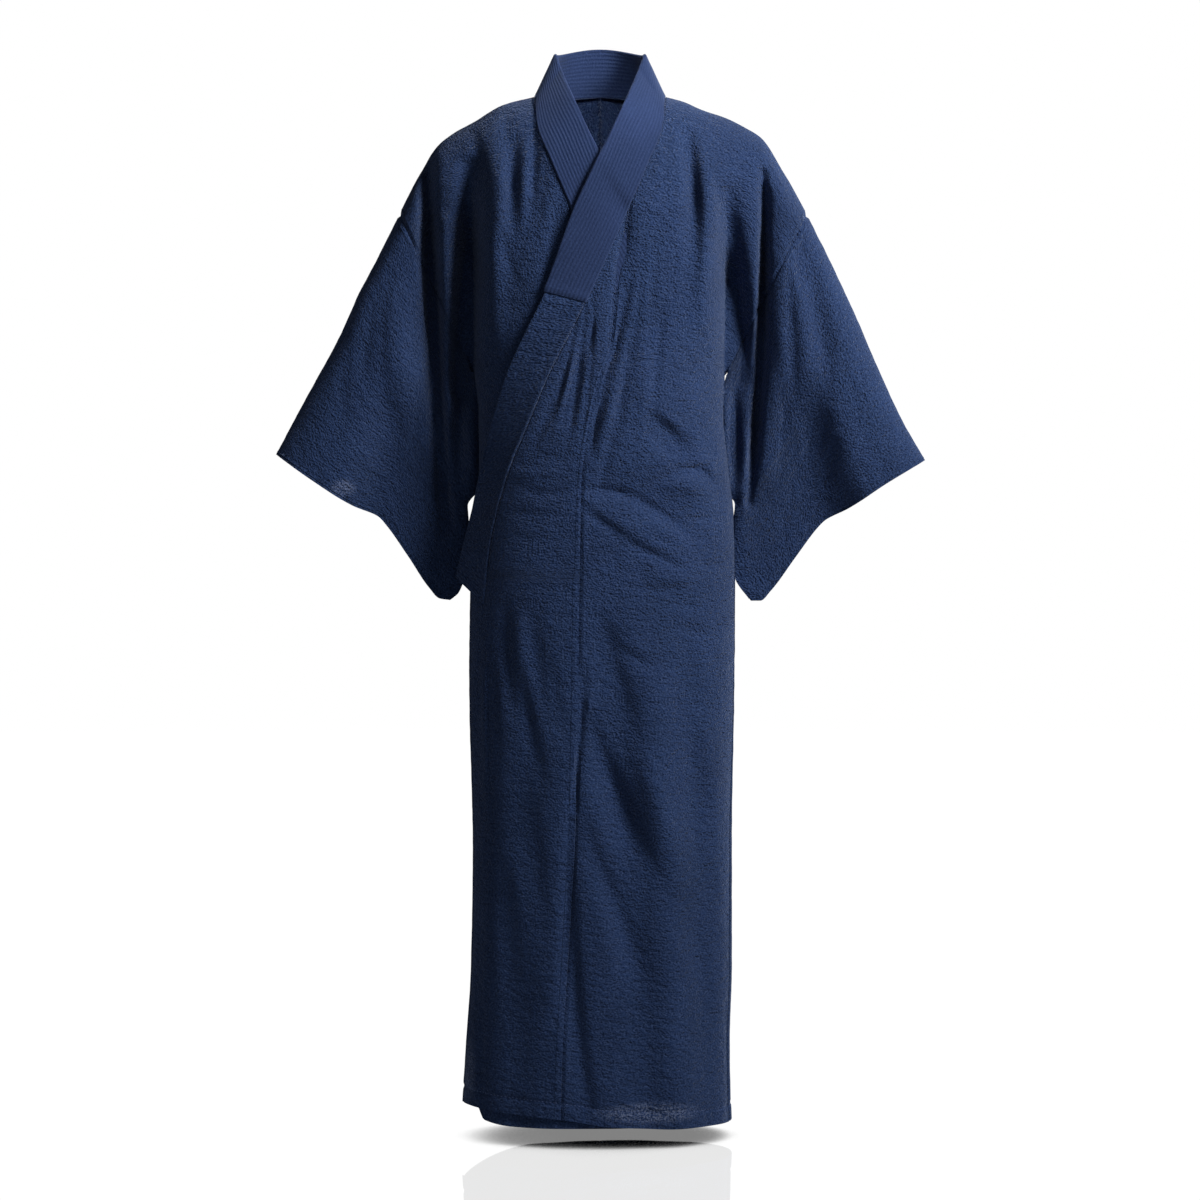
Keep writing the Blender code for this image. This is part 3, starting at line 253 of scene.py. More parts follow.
# Folds and creases: a row is a curved line through a start, a middle and an end, each as x and z, then its
# half width, its lean (how much wider one flank is than the other) and its height (below 0 for a trough) at
# the start, middle and end. A row with one height has it in the middle and runs out to 0 at both ends.
FRONT_CREASES = (
    # fan between the over collar and the strip's seam
    (-8, -313, -13, -345, -20, -374, 5, 200, -2.2), (-23, -321, -35, -396, -59, -487, 7, -300, -3),
    (-39, -353, -54, -415, -79, -479, 6, 300, -2), (-16, -361, -30, -420, -42, -495, 5, 200, -1.6),
    (-31, -331, -46, -404, -70, -474, 4.5, 0, 1.4), (-59, -404, -77, -459, -97, -509, 6, 0, -1.2),
    (-30, -300, -48, -400, -78, -510, 3.5, 0, -0.6, -1.3, 0),
    (-20, -300, -30, -400, -52, -520, 3.5, 0, -0.6, -1.2, 0),
    (-10, -280, -12, -380, -30, -500, 3.5, 200, -0.4, -1.2, 0),
    # beside the strip's seam on the chest
    (22, -240, 16, -340, -2, -460, 3.5, 0, -0.4, -1.2, 0), (60, -200, 50, -320, 40, -440, 4.5, 200, -1.2),
    (76, -180, 70, -300, 64, -420, 5, 0, -1), (34, -278, 21, -353, 4, -401, 5.5, -300, -1, -3.4, -1.2),
    (7, -395, -5, -458, -17, -509, 5.5, 300, -0.6, -3.2, 0),
    (46, -291, 32, -396, 15, -487, 6.5, -300, 0, -2.8, -0.4), (21, -452, 8, -509, -1, -545, 5.5, 0, -2),
    (28, -388, 11, -447, -4, -519, 7, 0, 2.6), (86, -286, 79, -361, 71, -458, 7, 300, -2),
    (58, -321, 54, -361, 48, -404, 3, 0, -0.7), (67, -358, 60, -425, 54, -487, 8, 0, 1.2),
    # from the neck and shoulder over the wearer's left chest
    (46, -164, 30, -224, 17, -291, 5, 200, -2.2), (48, -224, 40, -278, 30, -331, 4, 0, -1.4),
    (83, -63, 67, -110, 48, -157, 6, 0, -1.2), (118, -49, 129, -143, 130, -240, 13, 400, -4.8),
    (102, -36, 110, -117, 121, -211, 10, 0, 1.8), (150, -103, 164, -164, 169, -211, 8.5, -400, 0, -3.6, -0.4),
    (134, -184, 140, -251, 134, -331, 12, 0, 1.6),
    (161, -186, 166, -227, 181, -267, 7, 200, -0.6, -4.2, -1.2), (175, -176, 181, -211, 191, -246, 6, 0, 2.4),
    # over the wearer's right chest
    (-86, -47, -89, -130, -99, -224, 7.5, 300, -3), (-70, -90, -81, -157, -90, -240, 6.5, 0, -1.6),
    (-109, -47, -118, -117, -121, -200, 8.5, -300, -2.6), (-130, -76, -134, -143, -134, -224, 8, 0, 1.8),
    (-54, -143, -64, -211, -77, -291, 9, 0, -1.4), (-98, -63, -105, -143, -109, -237, 7, 0, 1.6),
    (-134, -177, -124, -235, -105, -280, 8, 200, -1.4), (-175, -49, -164, -90, -156, -143, 9, 0, 0, -3, -1),
    # crumples at the waist
    (46, -440, 88, -462, 120, -508, 10.5, 200, -2.1), (54, -468, 81, -479, 102, -511, 6, 200, -1.8),
    (70, -442, 97, -452, 124, -479, 7, 0, 2), (62, -540, 105, -518, 140, -517, 8, 500, 0, -3, -1),
    (126, -515, 145, -522, 160, -541, 6, 300, -1, -3, 0), (81, -549, 121, -538, 156, -560, 11, 0, 3),
    (-23, -545, 5, -545, 32, -550, 4.5, 300, -0.4, -2, -1.4),
    (12, -545, 67, -566, 136, -620, 9.5, 500, -1, -3, 0), (54, -589, 97, -603, 134, -635, 10, 0, 2.6),
    (-24, -566, 8, -590, 64, -628, 8.5, 500, -0.8, -2.6, -0.6),
    (48, -619, 81, -635, 124, -656, 7, 300, -0.8, -2.6, 0), (27, -675, 74, -681, 134, -674, 4.5, 0, -1.2),
    (67, -697, 121, -702, 168, -694, 5, 0, -1), (54, -648, 94, -664, 141, -659, 9, 0, 1.6),
    (-94, -495, -59, -503, -21, -501, 4, 0, -1), (-113, -541, -73, -549, -27, -544, 4.5, 300, 0, -1.4, -0.6),
    (-134, -570, -94, -579, -30, -581, 5, 0, -1), (-124, -608, -86, -613, -32, -611, 5, 0, -0.9),
    (-128, -519, -94, -525, -40, -519, 6, 0, 1),
    # over the wearer's left hip
    (114, -331, 141, -337, 164, -348, 4, 0, -1), (107, -388, 137, -388, 164, -399, 4.5, 0, -1.2),
    (121, -428, 145, -425, 166, -439, 5, 0, -1), (121, -587, 150, -581, 175, -592, 5, 0, -1.4),
    (134, -640, 156, -648, 179, -643, 5, 0, -1.2),
    # soft diagonals of the skirt
    (-13, -681, 21, -788, 54, -909, 16, 300, -2.4), (-20, -828, 14, -936, 94, -1100, 19, 300, 0, -5.4, -1.4),
    (46, -872, 82, -979, 134, -1110, 18, 0, 3.4), (-32, -968, 6, -1075, 58, -1200, 17, 200, -0.6, -4.6, -0.8),
    (-21, -1003, 0, -1097, 13, -1204, 14, 0, 2.2), (5, -748, 54, -775, 121, -780, 10, 300, -1.2),
    (0, -721, 38, -764, 86, -785, 8, 200, -1), (107, -1070, 129, -1164, 142, -1285, 14, 200, -2.2),
    (81, -721, 134, -740, 176, -734, 8, 0, -1.2), (121, -828, 150, -909, 161, -1043, 16, 0, 1.6),
    # narrow fold beside the strip's seam
    (-22, -785, -25, -865, -36, -975, 5.2, -300, -1.4, -3.4, -1.8),
    (-16, -790, -19, -860, -29, -950, 4.5, 0, 0.6, 1.6, 0),
    (-39, -963, -44, -1097, -52, -1245, 4, 0, -1, -2, -1),
    (-36, -1000, -36, -1184, -16, -1372, 13, 300, -1, -4.6, -3),
    # over front strip
    (-126, -683, -124, -780, -107, -882, 9, 300, -2.8), (-91, -689, -81, -796, -59, -898, 9, 0, -2),
    (-107, -748, -94, -855, -70, -963, 9, 300, -2.6), (-110, -694, -105, -775, -89, -855, 8, 0, 2),
    (-70, -748, -59, -828, -46, -909, 8, 0, -1.6), (-94, -963, -81, -1070, -70, -1177, 11, 0, -1.6),
    (-134, -1043, -126, -1151, -118, -1285, 12, 0, -1.4), (-118, -1016, -107, -1097, -97, -1218, 11, 0, 1.4),
    # pleats beside the open front edge
    (-160, -694, -162, -855, -158, -1030, 4.5, 200, 0, -2.2, -0.4),
    (-150, -707, -152, -855, -148, -1003, 4.5, 0, -1.8), (-141, -721, -142, -828, -138, -949, 4.5, 0, -1.4),
    (-166, -748, -169, -882, -165, -1043, 4, 0, -1.6), (-156, -721, -157, -855, -153, -1016, 4, 0, 1.4),
    (-161, -1070, -164, -1177, -166, -1285, 6, 0, -1.4),
    (-157, -1231, -160, -1298, -160, -1365, 4.5, 0, 0, -1.4, -1.4),
    # side seam at the hem
    (171.5, -1230, 172.8, -1320, 174, -1402, 2.2, 0, -0.4, -1, -1),
    # wearer's right sleeve
    (-300, -250, -318, -330, -322, -420, 11, 200, -1.8), (-278, -230, -286, -330, -280, -440, 9, 0, 1.4),
    (-330, -330, -352, -400, -352, -470, 11, 0, -1.6), (-252, -420, -252, -500, -240, -590, 9, 200, -1.8),
    (-312, -520, -296, -552, -286, -590, 13, 300, -4), (-340, -490, -318, -505, -300, -530, 10, 0, 1.8),
    (-222, -440, -216, -520, -206, -610, 7, 0, -1.6), (-215, -300, -200, -330, -188, -352, 6, 200, -1.2),
    # wearer's left sleeve
    (252, -210, 262, -320, 266, -440, 10, 300, 0, -3, -0.6), (282, -240, 306, -340, 318, -440, 12, 0, -1.8),
    (270, -250, 284, -350, 290, -450, 11, 0, 1.8), (310, -430, 302, -480, 292, -520, 12, 300, -2.6),
    (330, -470, 312, -510, 300, -560, 12, 200, -3.4), (250, -400, 252, -480, 244, -560, 8, 0, -1.8),
    (270, -440, 276, -500, 266, -570, 9, 0, 1.6), (214, -420, 216, -480, 208, -560, 7, 0, -1.4),
    (204, -250, 206, -390, 214, -540, 15, 400, -2, -8, 0), (222, -120, 230, -150, 228, -190, 7, 200, -2.2),
)
BACK_CREASES = (
    # shoulders and shoulder blades
    (-70, -60, -64, -150, -50, -250, 11, 300, -2.6), (-120, -70, -118, -150, -104, -260, 12, -300, -3),
    (-150, -120, -150, -200, -140, -300, 10, 0, 1.8), (-104, -110, -98, -200, -82, -320, 11, 0, 2),
    (66, -70, 58, -150, 46, -230, 10, 200, -2.2), (122, -80, 116, -170, 100, -280, 12, 300, -3.2),
    (150, -130, 148, -210, 140, -310, 10, 0, 1.8), (100, -120, 92, -220, 74, -330, 11, 0, 1.8),
    (-26, -50, -22, -120, -18, -200, 8, 0, -1.2), (28, -60, 24, -140, 22, -220, 8, 0, -1.2),
    # waist
    (-140, -420, -90, -446, -30, -440, 8, 400, -3), (-120, -470, -60, -492, 0, -488, 8, 300, -2.6),
    (140, -430, 90, -462, 30, -474, 8, 400, -3.2), (130, -530, 80, -548, 20, -540, 8, 300, -2.6),
    (-150, -545, -100, -560, -40, -548, 7, 200, -2.2), (150, -480, 120, -500, 80, -506, 7, 200, -2),
    (-100, -620, -50, -628, 10, -616, 7, 0, -1.6), (150, -600, 100, -608, 50, -594, 7, 0, -1.8),
    (-80, -455, -40, -464, 10, -456, 9, 0, 1.8), (110, -440, 70, -500, 30, -508, 9, 0, 1.8),
    # skirt
    (-20, -700, -30, -820, -60, -980, 14, 300, -2.8),
    (-40, -880, -52, -1020, -50, -1200, 15, 200, 0, -3.4, -1),
    (-100, -720, -106, -860, -100, -1020, 14, 0, 2.4), (30, -680, 44, -800, 50, -940, 14, -300, -2.8),
    (60, -900, 60, -1060, 64, -1260, 16, 200, 0, -3, -0.8), (110, -760, 120, -920, 122, -1120, 15, 0, 2.4),
    (140, -820, 146, -980, 148, -1180, 12, 200, -2.2), (-140, -860, -146, -1020, -150, -1240, 12, 200, -2.2),
    (16, -1020, 20, -1160, 24, -1300, 12, 0, 1.8), (-18, -1060, -20, -1180, -20, -1330, 12, 0, -1.6),
    # sleeves
    (-300, -240, -314, -330, -318, -430, 11, 200, -2.2), (-340, -340, -356, -410, -352, -480, 11, 0, -1.8),
    (-250, -400, -252, -490, -240, -600, 10, 200, -2.4), (-310, -500, -292, -545, -276, -600, 12, 300, -3),
    (-280, -300, -284, -400, -274, -500, 11, 0, 1.8), (306, -250, 320, -340, 324, -440, 11, 200, -2.2),
    (344, -350, 360, -420, 352, -490, 11, 0, -1.8), (252, -390, 254, -490, 242, -600, 10, 200, -2.4),
    (312, -500, 296, -545, 280, -600, 12, 300, -3), (282, -290, 286, -400, 276, -500, 11, 0, 1.8),
)
FRONT_FOLDS = (
    # hollows between the chest and the arms
    (-176, -105, -180, -250, -190, -400, 15, 0, -14, -60, -34),
    (-190, -360, -197, -460, -196, -570, 12, 0, -6, -24, -10),
    (176, -145, 182, -285, 184, -385, 15, 0, -8, -50, -34),
    (184, -360, 185, -460, 188, -560, 10, 0, -10, -26, -10),
    (-142, -110, -143, -220, -144, -330, 15, 0, 3, 9, 4), (142, -110, 142, -220, 142, -330, 15, 0, 3, 8, 4),
    # folds that hang from the shoulder seam down the sleeves
    (-236, -100, -231, -300, -214, -590, 9.5, 0, -20, -50, -24),
    (-212, -180, -208, -340, -198, -560, 13, 0, 8, 16, 10),
    (222.5, -110, 222.5, -330, 206, -560, 6, 0, -10, -44, -16),
    (206, -180, 207, -340, 192, -560, 12.5, 0, 1, 4, 2), (248, -130, 248, -300, 230, -520, 18, 0, 4, 14, 8),
    (-262, -240, -268, -400, -240, -610, 20, 0, 6, 12, 6), (262, -240, 268, -400, 240, -610, 20, 0, 6, 12, 6),
    # chest
    (-128, -40, -118, -130, -108, -230, 12, 0, -4, -7, -2),
    (118, -60, 124, -140, 130, -250, 12, 0, -4, -8, -3), (34, -170, 30, -270, 10, -360, 10, 0, -3, -5, -3),
    # waist
    (70, -460, 100, -480, 118, -512, 20, 0, -3, -7, -3), (-10, -545, 70, -552, 126, -606, 20, 0, -3, -6, -3),
    (-10, -580, 60, -612, 120, -660, 20, 0, 3, 5, 2),
    # skirt
    (0, -760, 32, -1020, 62, -1390, 26, 0, -3, -9, -5), (40, -700, 80, -950, 104, -1390, 26, 0, 2, 8, 6),
    (110, -700, 132, -1000, 150, -1390, 20, 0, -2, -7, -5),
    (-100, -760, -104, -1050, -112, -1390, 24, 0, -2, -6, -5),
)
BACK_FOLDS = (
    (-176, -100, -174, -210, -166, -335, 18, 0, -8, -22, -1),
    (176, -100, 174, -210, 166, -335, 18, 0, -8, -22, -1),
    (-236, -140, -226, -340, -206, -590, 14, 0, -8, -20, -10),
    (238, -140, 228, -340, 206, -590, 14, 0, -8, -20, -10),
    (-270, -260, -264, -420, -240, -610, 22, 0, 4, 10, 5), (270, -260, 264, -420, 240, -610, 22, 0, 4, 10, 5),
    (-90, -80, -84, -220, -70, -400, 14, 0, -3, -7, -3), (96, -80, 88, -200, 78, -360, 14, 0, -3, -6, -2),
    (-110, -500, -10, -530, 100, -490, 20, 0, -2, -6, -2), (-90, -600, 20, -580, 110, -620, 20, 0, 2, 5, 2),
    (-80, -760, -74, -1050, -66, -1390, 26, 0, -2, -8, -6),
    (-126, -740, -124, -1050, -130, -1390, 24, 0, 2, 6, 5),
    (70, -720, 86, -1020, 94, -1390, 28, 0, -2, -8, -7),
)


def smooth(share):
    """0 to 1 with level ends: 3 s^2 - 2 s^3."""
    share = np.clip(share, 0.0, 1.0)
    return share * share * (3.0 - 2.0 * share)


def rounded(share):
    """0 to 1 along a quarter circle: sqrt(1 - (1 - s)^2)."""
    return np.sqrt(1 - (1 - np.clip(share, 0, 1)) ** 2)


def unit(vectors):
    """Each vector divided by its length."""
    return vectors / np.linalg.norm(vectors, axis=-1, keepdims=True)


def bowed(way, start, middle, end):
    """Quadratic curve through its start, its middle and its end."""
    bow = 2 * middle - (start + end) / 2
    return (1 - way) ** 2 * start + 2 * way * (1 - way) * bow + way**2 * end


def through(at, knots, values):
    """Smooth curve through (knots, values) that never overshoots: a monotone cubic.

    Its slope at a knot is a weighted harmonic mean of those on both sides, and 0 where they differ in sign.
    """
    knots, values = np.asarray(knots, float), np.asarray(values, float)
    step = np.diff(knots)
    slope = np.diff(values) / step
    tangent = np.zeros(len(values))
    tangent[0], tangent[-1] = slope[0], slope[-1]
    before, after = slope[:-1], slope[1:]
    same_way = before * after > 0
    weight_a, weight_b = 2 * step[1:] + step[:-1], step[1:] + 2 * step[:-1]
    with np.errstate(divide="ignore", invalid="ignore"):
        mean = (weight_a + weight_b) / (weight_a / before + weight_b / after)
    tangent[1:-1][same_way] = mean[same_way]
    at = np.clip(at, knots[0], knots[-1])
    i = np.clip(np.searchsorted(knots, at, side="right") - 1, 0, len(step) - 1)
    s = (at - knots[i]) / step[i]
    return (
        values[i] * (1 + 2 * s) * (1 - s) ** 2
        + tangent[i] * step[i] * s * (1 - s) ** 2
        + values[i + 1] * s * s * (3 - 2 * s)
        + tangent[i + 1] * step[i] * s * s * (s - 1)
    )


def read(rows, at, column=1):
    """A column of a table at the values at of its first column."""
    return through(at, rows[:, 0], rows[:, column])


def half_width(side, z):
    """Half width of the body's level section below the arms."""
    return read(BODY_SECTIONS, -z, HALF_WIDTH[side])


def ridge_z(x):
    """Height of the top outline over x, with the neck's dome between the neck points."""
    out = np.abs(x)
    dome = NECK_DOME * (1 - (out / NECK_HALF) ** 2)
    return np.where(out < NECK_HALF, dome, np.where(x < 0, read(RIDGE[RIGHT], out), read(RIDGE[LEFT], out)))


def crease_height(x, z, creases):
    """Sum of the creases at (x, z). Each is h(u) exp(-(d / w)^2), d the distance to its line and u the way.

    Its flanks differ: w grows by the lean on one side of the line and shrinks by it on the other.
    """
    total = np.zeros(np.shape(x))
    for row in creases:
        row = (*row[:8], 0, row[8], 0) if len(row) == 9 else row
        x0, z0, x1, z1, x2, z2, width, lean, start, middle, end = np.divide(row, 1000)
        reach = CREASE_REACH * width * (1 + abs(lean))
        inside = (x > min(x0, x1, x2) - reach) & (x < max(x0, x1, x2) + reach)
        inside &= (z > min(z0, z1, z2) - reach) & (z < max(z0, z1, z2) + reach)
        if not inside.any():
            continue
        px, pz = x[inside], z[inside]
        samples = np.linspace(0, 1, LINE_SAMPLES)
        line_x, line_z = bowed(samples, x0, x1, x2), bowed(samples, z0, z1, z2)
        near = np.full(px.shape, np.inf)
        near_way, near_side = np.zeros(px.shape), np.zeros(px.shape)
        for k in range(LINE_SAMPLES - 1):
            run_x, run_z = line_x[k + 1] - line_x[k], line_z[k + 1] - line_z[k]
            share = ((px - line_x[k]) * run_x + (pz - line_z[k]) * run_z) / (run_x**2 + run_z**2)
            share = np.clip(share, 0, 1)
            off_x, off_z = px - line_x[k] - share * run_x, pz - line_z[k] - share * run_z
            apart = np.hypot(off_x, off_z)
            closer = apart < near
            near = np.where(closer, apart, near)
            near_way = np.where(closer, (k + share) / (LINE_SAMPLES - 1), near_way)
            turn = (off_x * run_z - off_z * run_x) / (np.hypot(run_x, run_z) * np.maximum(apart, 1e-9))
            near_side = np.where(closer, turn, near_side)
        height = through(near_way, (0, 0.5, 1), (start, middle, end))
        total[inside] += height * np.exp(-((near / (width * (1 + lean * near_side))) ** 2))
    return total


def fold_depth(depth, x, z, back):
    """The depth with its folds and creases, kept off the middle. Creases fade towards the sides."""
    folds, creases = (BACK_FOLDS, BACK_CREASES) if back else (FRONT_FOLDS, FRONT_CREASES)
    fine = CREASE_STRENGTH * crease_height(x, z, creases) * smooth(depth / CREASE_FADE)
    return np.maximum(depth + crease_height(x, z, folds), THINNEST_HALF * depth) + fine


def layer_gap(z):
    """Distance from the under front to the over front: wider as far down as the collars reach."""
    return SKIRT_GAP + (LAYER_GAP - SKIRT_GAP) * smooth((z - GAP_FROM_Z) / GAP_FALL)


def hull_depth(x, z, back, growth):
    """Smooth depth of the body and shoulders at (x, z), before folds.

    Above the arms it is a depth for each x, reached along a quarter ellipse below the top outline. It turns
    towards the armpit into the body's superellipse (1 - |x / a|^n)^(1/n), grown by the layer's growth.
    """
    out = np.abs(x)
    top = read(TOP_SECTIONS, out, TOP_BACK if back else TOP_FRONT)
    drop = read(TOP_SECTIONS, out, TOP_BACK_DROP if back else TOP_FRONT_DROP)
    growth = growth * smooth((ridge_z(x) - z) / GROWTH_FADE)
    across = np.where(x < 0, half_width(RIGHT, z), half_width(LEFT, z)) + growth
    inside = np.clip(1 - (out / across) ** BODY_SQUARENESS, 0, 1)
    widest = read(BODY_SECTIONS, -z, BODY_BACK if back else BODY_FRONT) + growth
    ring = widest * inside ** (1 / BODY_SQUARENESS)
    lowered = np.clip(z / UNDERARM_Z, 0, 1) ** (BACK_TURNS_IN if back else FRONT_TURNS_IN)
    return ((top + growth) * (1 - lowered) + ring * lowered) * rounded((ridge_z(x) - z) / drop)


def front_y(x, z, side):
    """y of a front: minus its depth, grown where it is the over one and shrunk where it is the under one."""
    x, z = np.broadcast_arrays(np.asarray(x, float), np.asarray(z, float))
    growth = layer_gap(z) * smooth((GAP_MIDDLE - side * x) / GAP_WIDTH) * side
    return -fold_depth(hull_depth(x, z, False, growth), x, z, False)


def back_y(x, z):
    """y of the back: its depth."""
    x, z = np.broadcast_arrays(np.asarray(x, float), np.asarray(z, float))
    return fold_depth(hull_depth(x, z, True, 0.0), x, z, True)


def collar_seam_x(z, side):
    """Where the collar is sewn on, at the height z."""
    return side * through(-z, -COLLAR_FRONT[:, 1], COLLAR_FRONT[:, 0])


def strip_seam_x(z, side):
    """Where the front strip is sewn to the front panel, at the height z."""
    return side * through(-z, -STRIP_SEAM[:, 1], STRIP_SEAM[:, 0])


def panel_inner_x(z, side):
    """Inner edge of the front body panel: the collar above, the strip's seam below."""
    return np.where(z > STRIP_SEAM[0, 1], collar_seam_x(z, side), strip_seam_x(z, side))


def neckline_z(x):
    """Height of the back neckline, which the collar is sewn to: a parabola, highest at the centre back."""
    return COLLAR_BACK_SEAM_Z * (1 - (x / NECK_HALF) ** 2)


def turn_of(x, z, side, growth):
    """Angle from the front at which a level section reaches x: the arcsine of x over the half width."""
    reach = np.where(side * x >= 0, half_width(side, z), half_width(-side, z) + growth)
    return np.arcsin(np.clip(side * x / reach, -1, 1))


def x_of(turn, z, side, growth):
    """x of a level section at the angle turn: its half width times the sine, past 90 degrees on the back."""
    sine = np.sin(turn)
    return side * sine * np.where(sine >= 0, half_width(side, z), half_width(-side, z) + growth)


def shoulder(side, x):
    """Point of the top outline at the distance x from the middle."""
    return np.stack((side * x, read(RIDGE[side], x)), axis=-1)


def armhole(side, ways):
    """Armhole seam from the top outline to the underarm, seen from the front: a quadratic curve."""
    way, mirror = np.asarray(ways)[..., None], np.array((side, 1.0))
    end = mirror * (UNDERARM_X[side], UNDERARM_Z)
    return bowed(way, shoulder(side, ARMHOLE_TOP_X[side]), mirror * ARMHOLE_MIDDLE[side], end)


def edge_line(rows, at, side):
    """A sleeve's edge line at the shares at."""
    return np.stack((side * read(rows, at, 1), read(rows, at, 2)), axis=-1)


def coons(across, down, top, bottom, near, far):
    """Coons patch between four edges: top and bottom over the shares across, near and far over those down.

    It is the blend from top to bottom, plus what the near and far edges differ from it by, each faded across.
    """
    a, w = across[..., None], down[..., None]
    start, end = np.array(0.0), np.array(1.0)
    patch = (1 - w) * top(across) + w * bottom(across)
    for share, edge in ((1 - a, near), (a, far)):
        patch = patch + share * (edge(down) - (1 - w) * edge(start) - w * edge(end))
    return patch


def sleeve_patch(side, along, way):
    """x and z of the sleeve: a patch between the top outline, bottom fold, armhole and wrist edge."""
    def top(share):
        return shoulder(side, ARMHOLE_TOP_X[side] + (RIDGE[side][-1, 0] - ARMHOLE_TOP_X[side]) * share)

    return coons(
        along, way, top, lambda share: edge_line(SLEEVE_FOLD[side], share, side),
        lambda share: armhole(side, share), lambda share: edge_line(WRIST_EDGE[side], share, side),
    )


def upper_patch(side, ways, shares, back):
    """x and z of the body panel above the underarm: a patch between its outline, its seams and the underarm.

    ways run from 0 at the top outline to 1 at the underarm, and shares from 0 beside the neck to 1 at the
    armhole.
    """
    def top(share):
        return shoulder(side, NECK_HALF + (ARMHOLE_TOP_X[side] - NECK_HALF) * share)

    def inner(way):
        # the front's inner edge, or the back's neckline and then its centre
        if not back:
            z = UNDERARM_Z * way
            return np.stack((panel_inner_x(z, side), z), axis=-1)
        x = NECK_HALF * np.cos(np.clip(way / NECK_SHARE, 0, 1) ** NECKLINE_BEND * np.pi / 2)
        down = np.clip((way - NECK_SHARE) / (1 - NECK_SHARE), 0, 1)
        return np.stack((side * x, neckline_z(x) + (UNDERARM_Z - COLLAR_BACK_SEAM_Z) * down), axis=-1)

    def bottom(share):
        # the level section by shares of the angle, drawn to the underarm beside the armhole
        level = np.full(np.shape(share), UNDERARM_Z)
        start = turn_of(inner(np.array(1.0))[0], UNDERARM_Z, side, 0.0)
        x = x_of(start + (np.pi / 2 - start) * share, level, side, 0.0)
        wider = side * (UNDERARM_X[side] - half_width(side, UNDERARM_Z)) * share**6
        return np.stack((x + wider, level), axis=-1)

    return coons(shares, ways, top, bottom, inner, lambda way: armhole(side, way))


def collar_lines(side):
    """Seam edge and free edge of half a collar band, from the centre back down the front.

    Round the back of the neck both edges follow ellipses in plan. In front they lie on the front's surface.
    """
    turn = np.linspace(0, np.pi / 2, NECK_STATIONS + 1)[:-1]
    back_x = side * NECK_HALF * np.sin(turn)
    back_z = neckline_z(back_x)
    back_seam = np.stack((back_x, back_y(back_x, back_z), back_z), axis=-1)
    free_z = COLLAR_SIDE_Z + (COLLAR_BACK_Z - COLLAR_SIDE_Z) * np.cos(turn) ** 2
    free_x, free_y = side * COLLAR_NECK_HALF * np.sin(turn), COLLAR_BACK_Y * np.cos(turn)
    back_free = np.stack((free_x, free_y, free_z), axis=-1)
    row, rows = BAND_ROWS, np.arange(len(COLLAR_FRONT))
    seam_x, seam_z, free_x, free_z = (through(row, rows, column) for column in COLLAR_FRONT.T)
    seam = np.stack((side * seam_x, front_y(side * seam_x, seam_z, side), seam_z), axis=-1)
    if side == RIGHT:
        reach = half_width(LEFT, free_z) - layer_gap(free_z)
        free_x = np.maximum(free_x, -reach * np.sin(UNDER_COLLAR_ANGLE))
    beside_neck = smooth(row / 2)
    free_y = front_y(side * free_x, free_z, side) * beside_neck - NECK_FREE_SLOPE * row * (1 - beside_neck)
    if side == LEFT:
        free_y = np.where(row > len(rows) / 2, np.minimum(free_y, -BAND_END_STAND), free_y)
    free = np.stack((side * free_x, free_y, free_z), axis=-1)
    return np.concatenate((back_seam, seam)), np.concatenate((back_free, free))


def grid_normals(points, closed=False):
    """Normal of the grid at each point: the cross product of its steps down and across, turned outwards."""
    if closed:
        across = (np.roll(points, -1, axis=1) - np.roll(points, 1, axis=1)) / 2
    else:
        across = np.gradient(points, axis=1)
    normals = unit(np.cross(np.gradient(points, axis=0), across))
    probe = len(points) // 5, points.shape[1] // 3
    return normals if normals[probe][1] * points[probe][1] > 0 else -normals


def eased(count, start=0.25):
    """Shares 0 to 1 that crowd towards 0 as s^2 does: (sqrt(c^2 + s^2) - c) / (sqrt(c^2 + 1) - c)."""
    s = np.linspace(0, 1, count)
    return (np.sqrt(start**2 + s**2) - start) / (np.sqrt(start**2 + 1) - start)


def eased_both(count):
    """Shares 0 to 1 that crowd towards both ends."""
    half = eased(count // 2 + 1) / 2
    return np.concatenate((half, (1 - half[::-1])[1:]))


def edged(count, width):
    """Even shares 0 to 1 with two more beside each end, where a seam edge rolls in."""
    near = np.array((1.0, 2.2)) * SEAM_ROLL / width
    return np.concatenate(((0.0,), near, np.linspace(0, 1, count)[1:-1], 1 - near[::-1], (1.0,)))


def lattice_noise(u, v, seed):
    """Smooth random heights from about -1 to 1: slopes on a lattice, blended by s^3 (6 s^2 - 15 s + 10)."""
    angle = np.random.default_rng(seed).uniform(0, 2 * np.pi, (LATTICE, LATTICE))
    i, j = np.floor(u).astype(int), np.floor(v).astype(int)
    fu, fv = u - i, v - j
    wu, wv = (f**3 * (6 * f**2 - 15 * f + 10) for f in (fu, fv))
    total = 0.0
    for a in (0, 1):
        for b in (0, 1):
            turn = angle[(i + a) % LATTICE, (j + b) % LATTICE]
            slope = (fu - a) * np.cos(turn) + (fv - b) * np.sin(turn)
            total = total + slope * (wu if a else 1 - wu) * (wv if b else 1 - wv)
    return total * 1.5


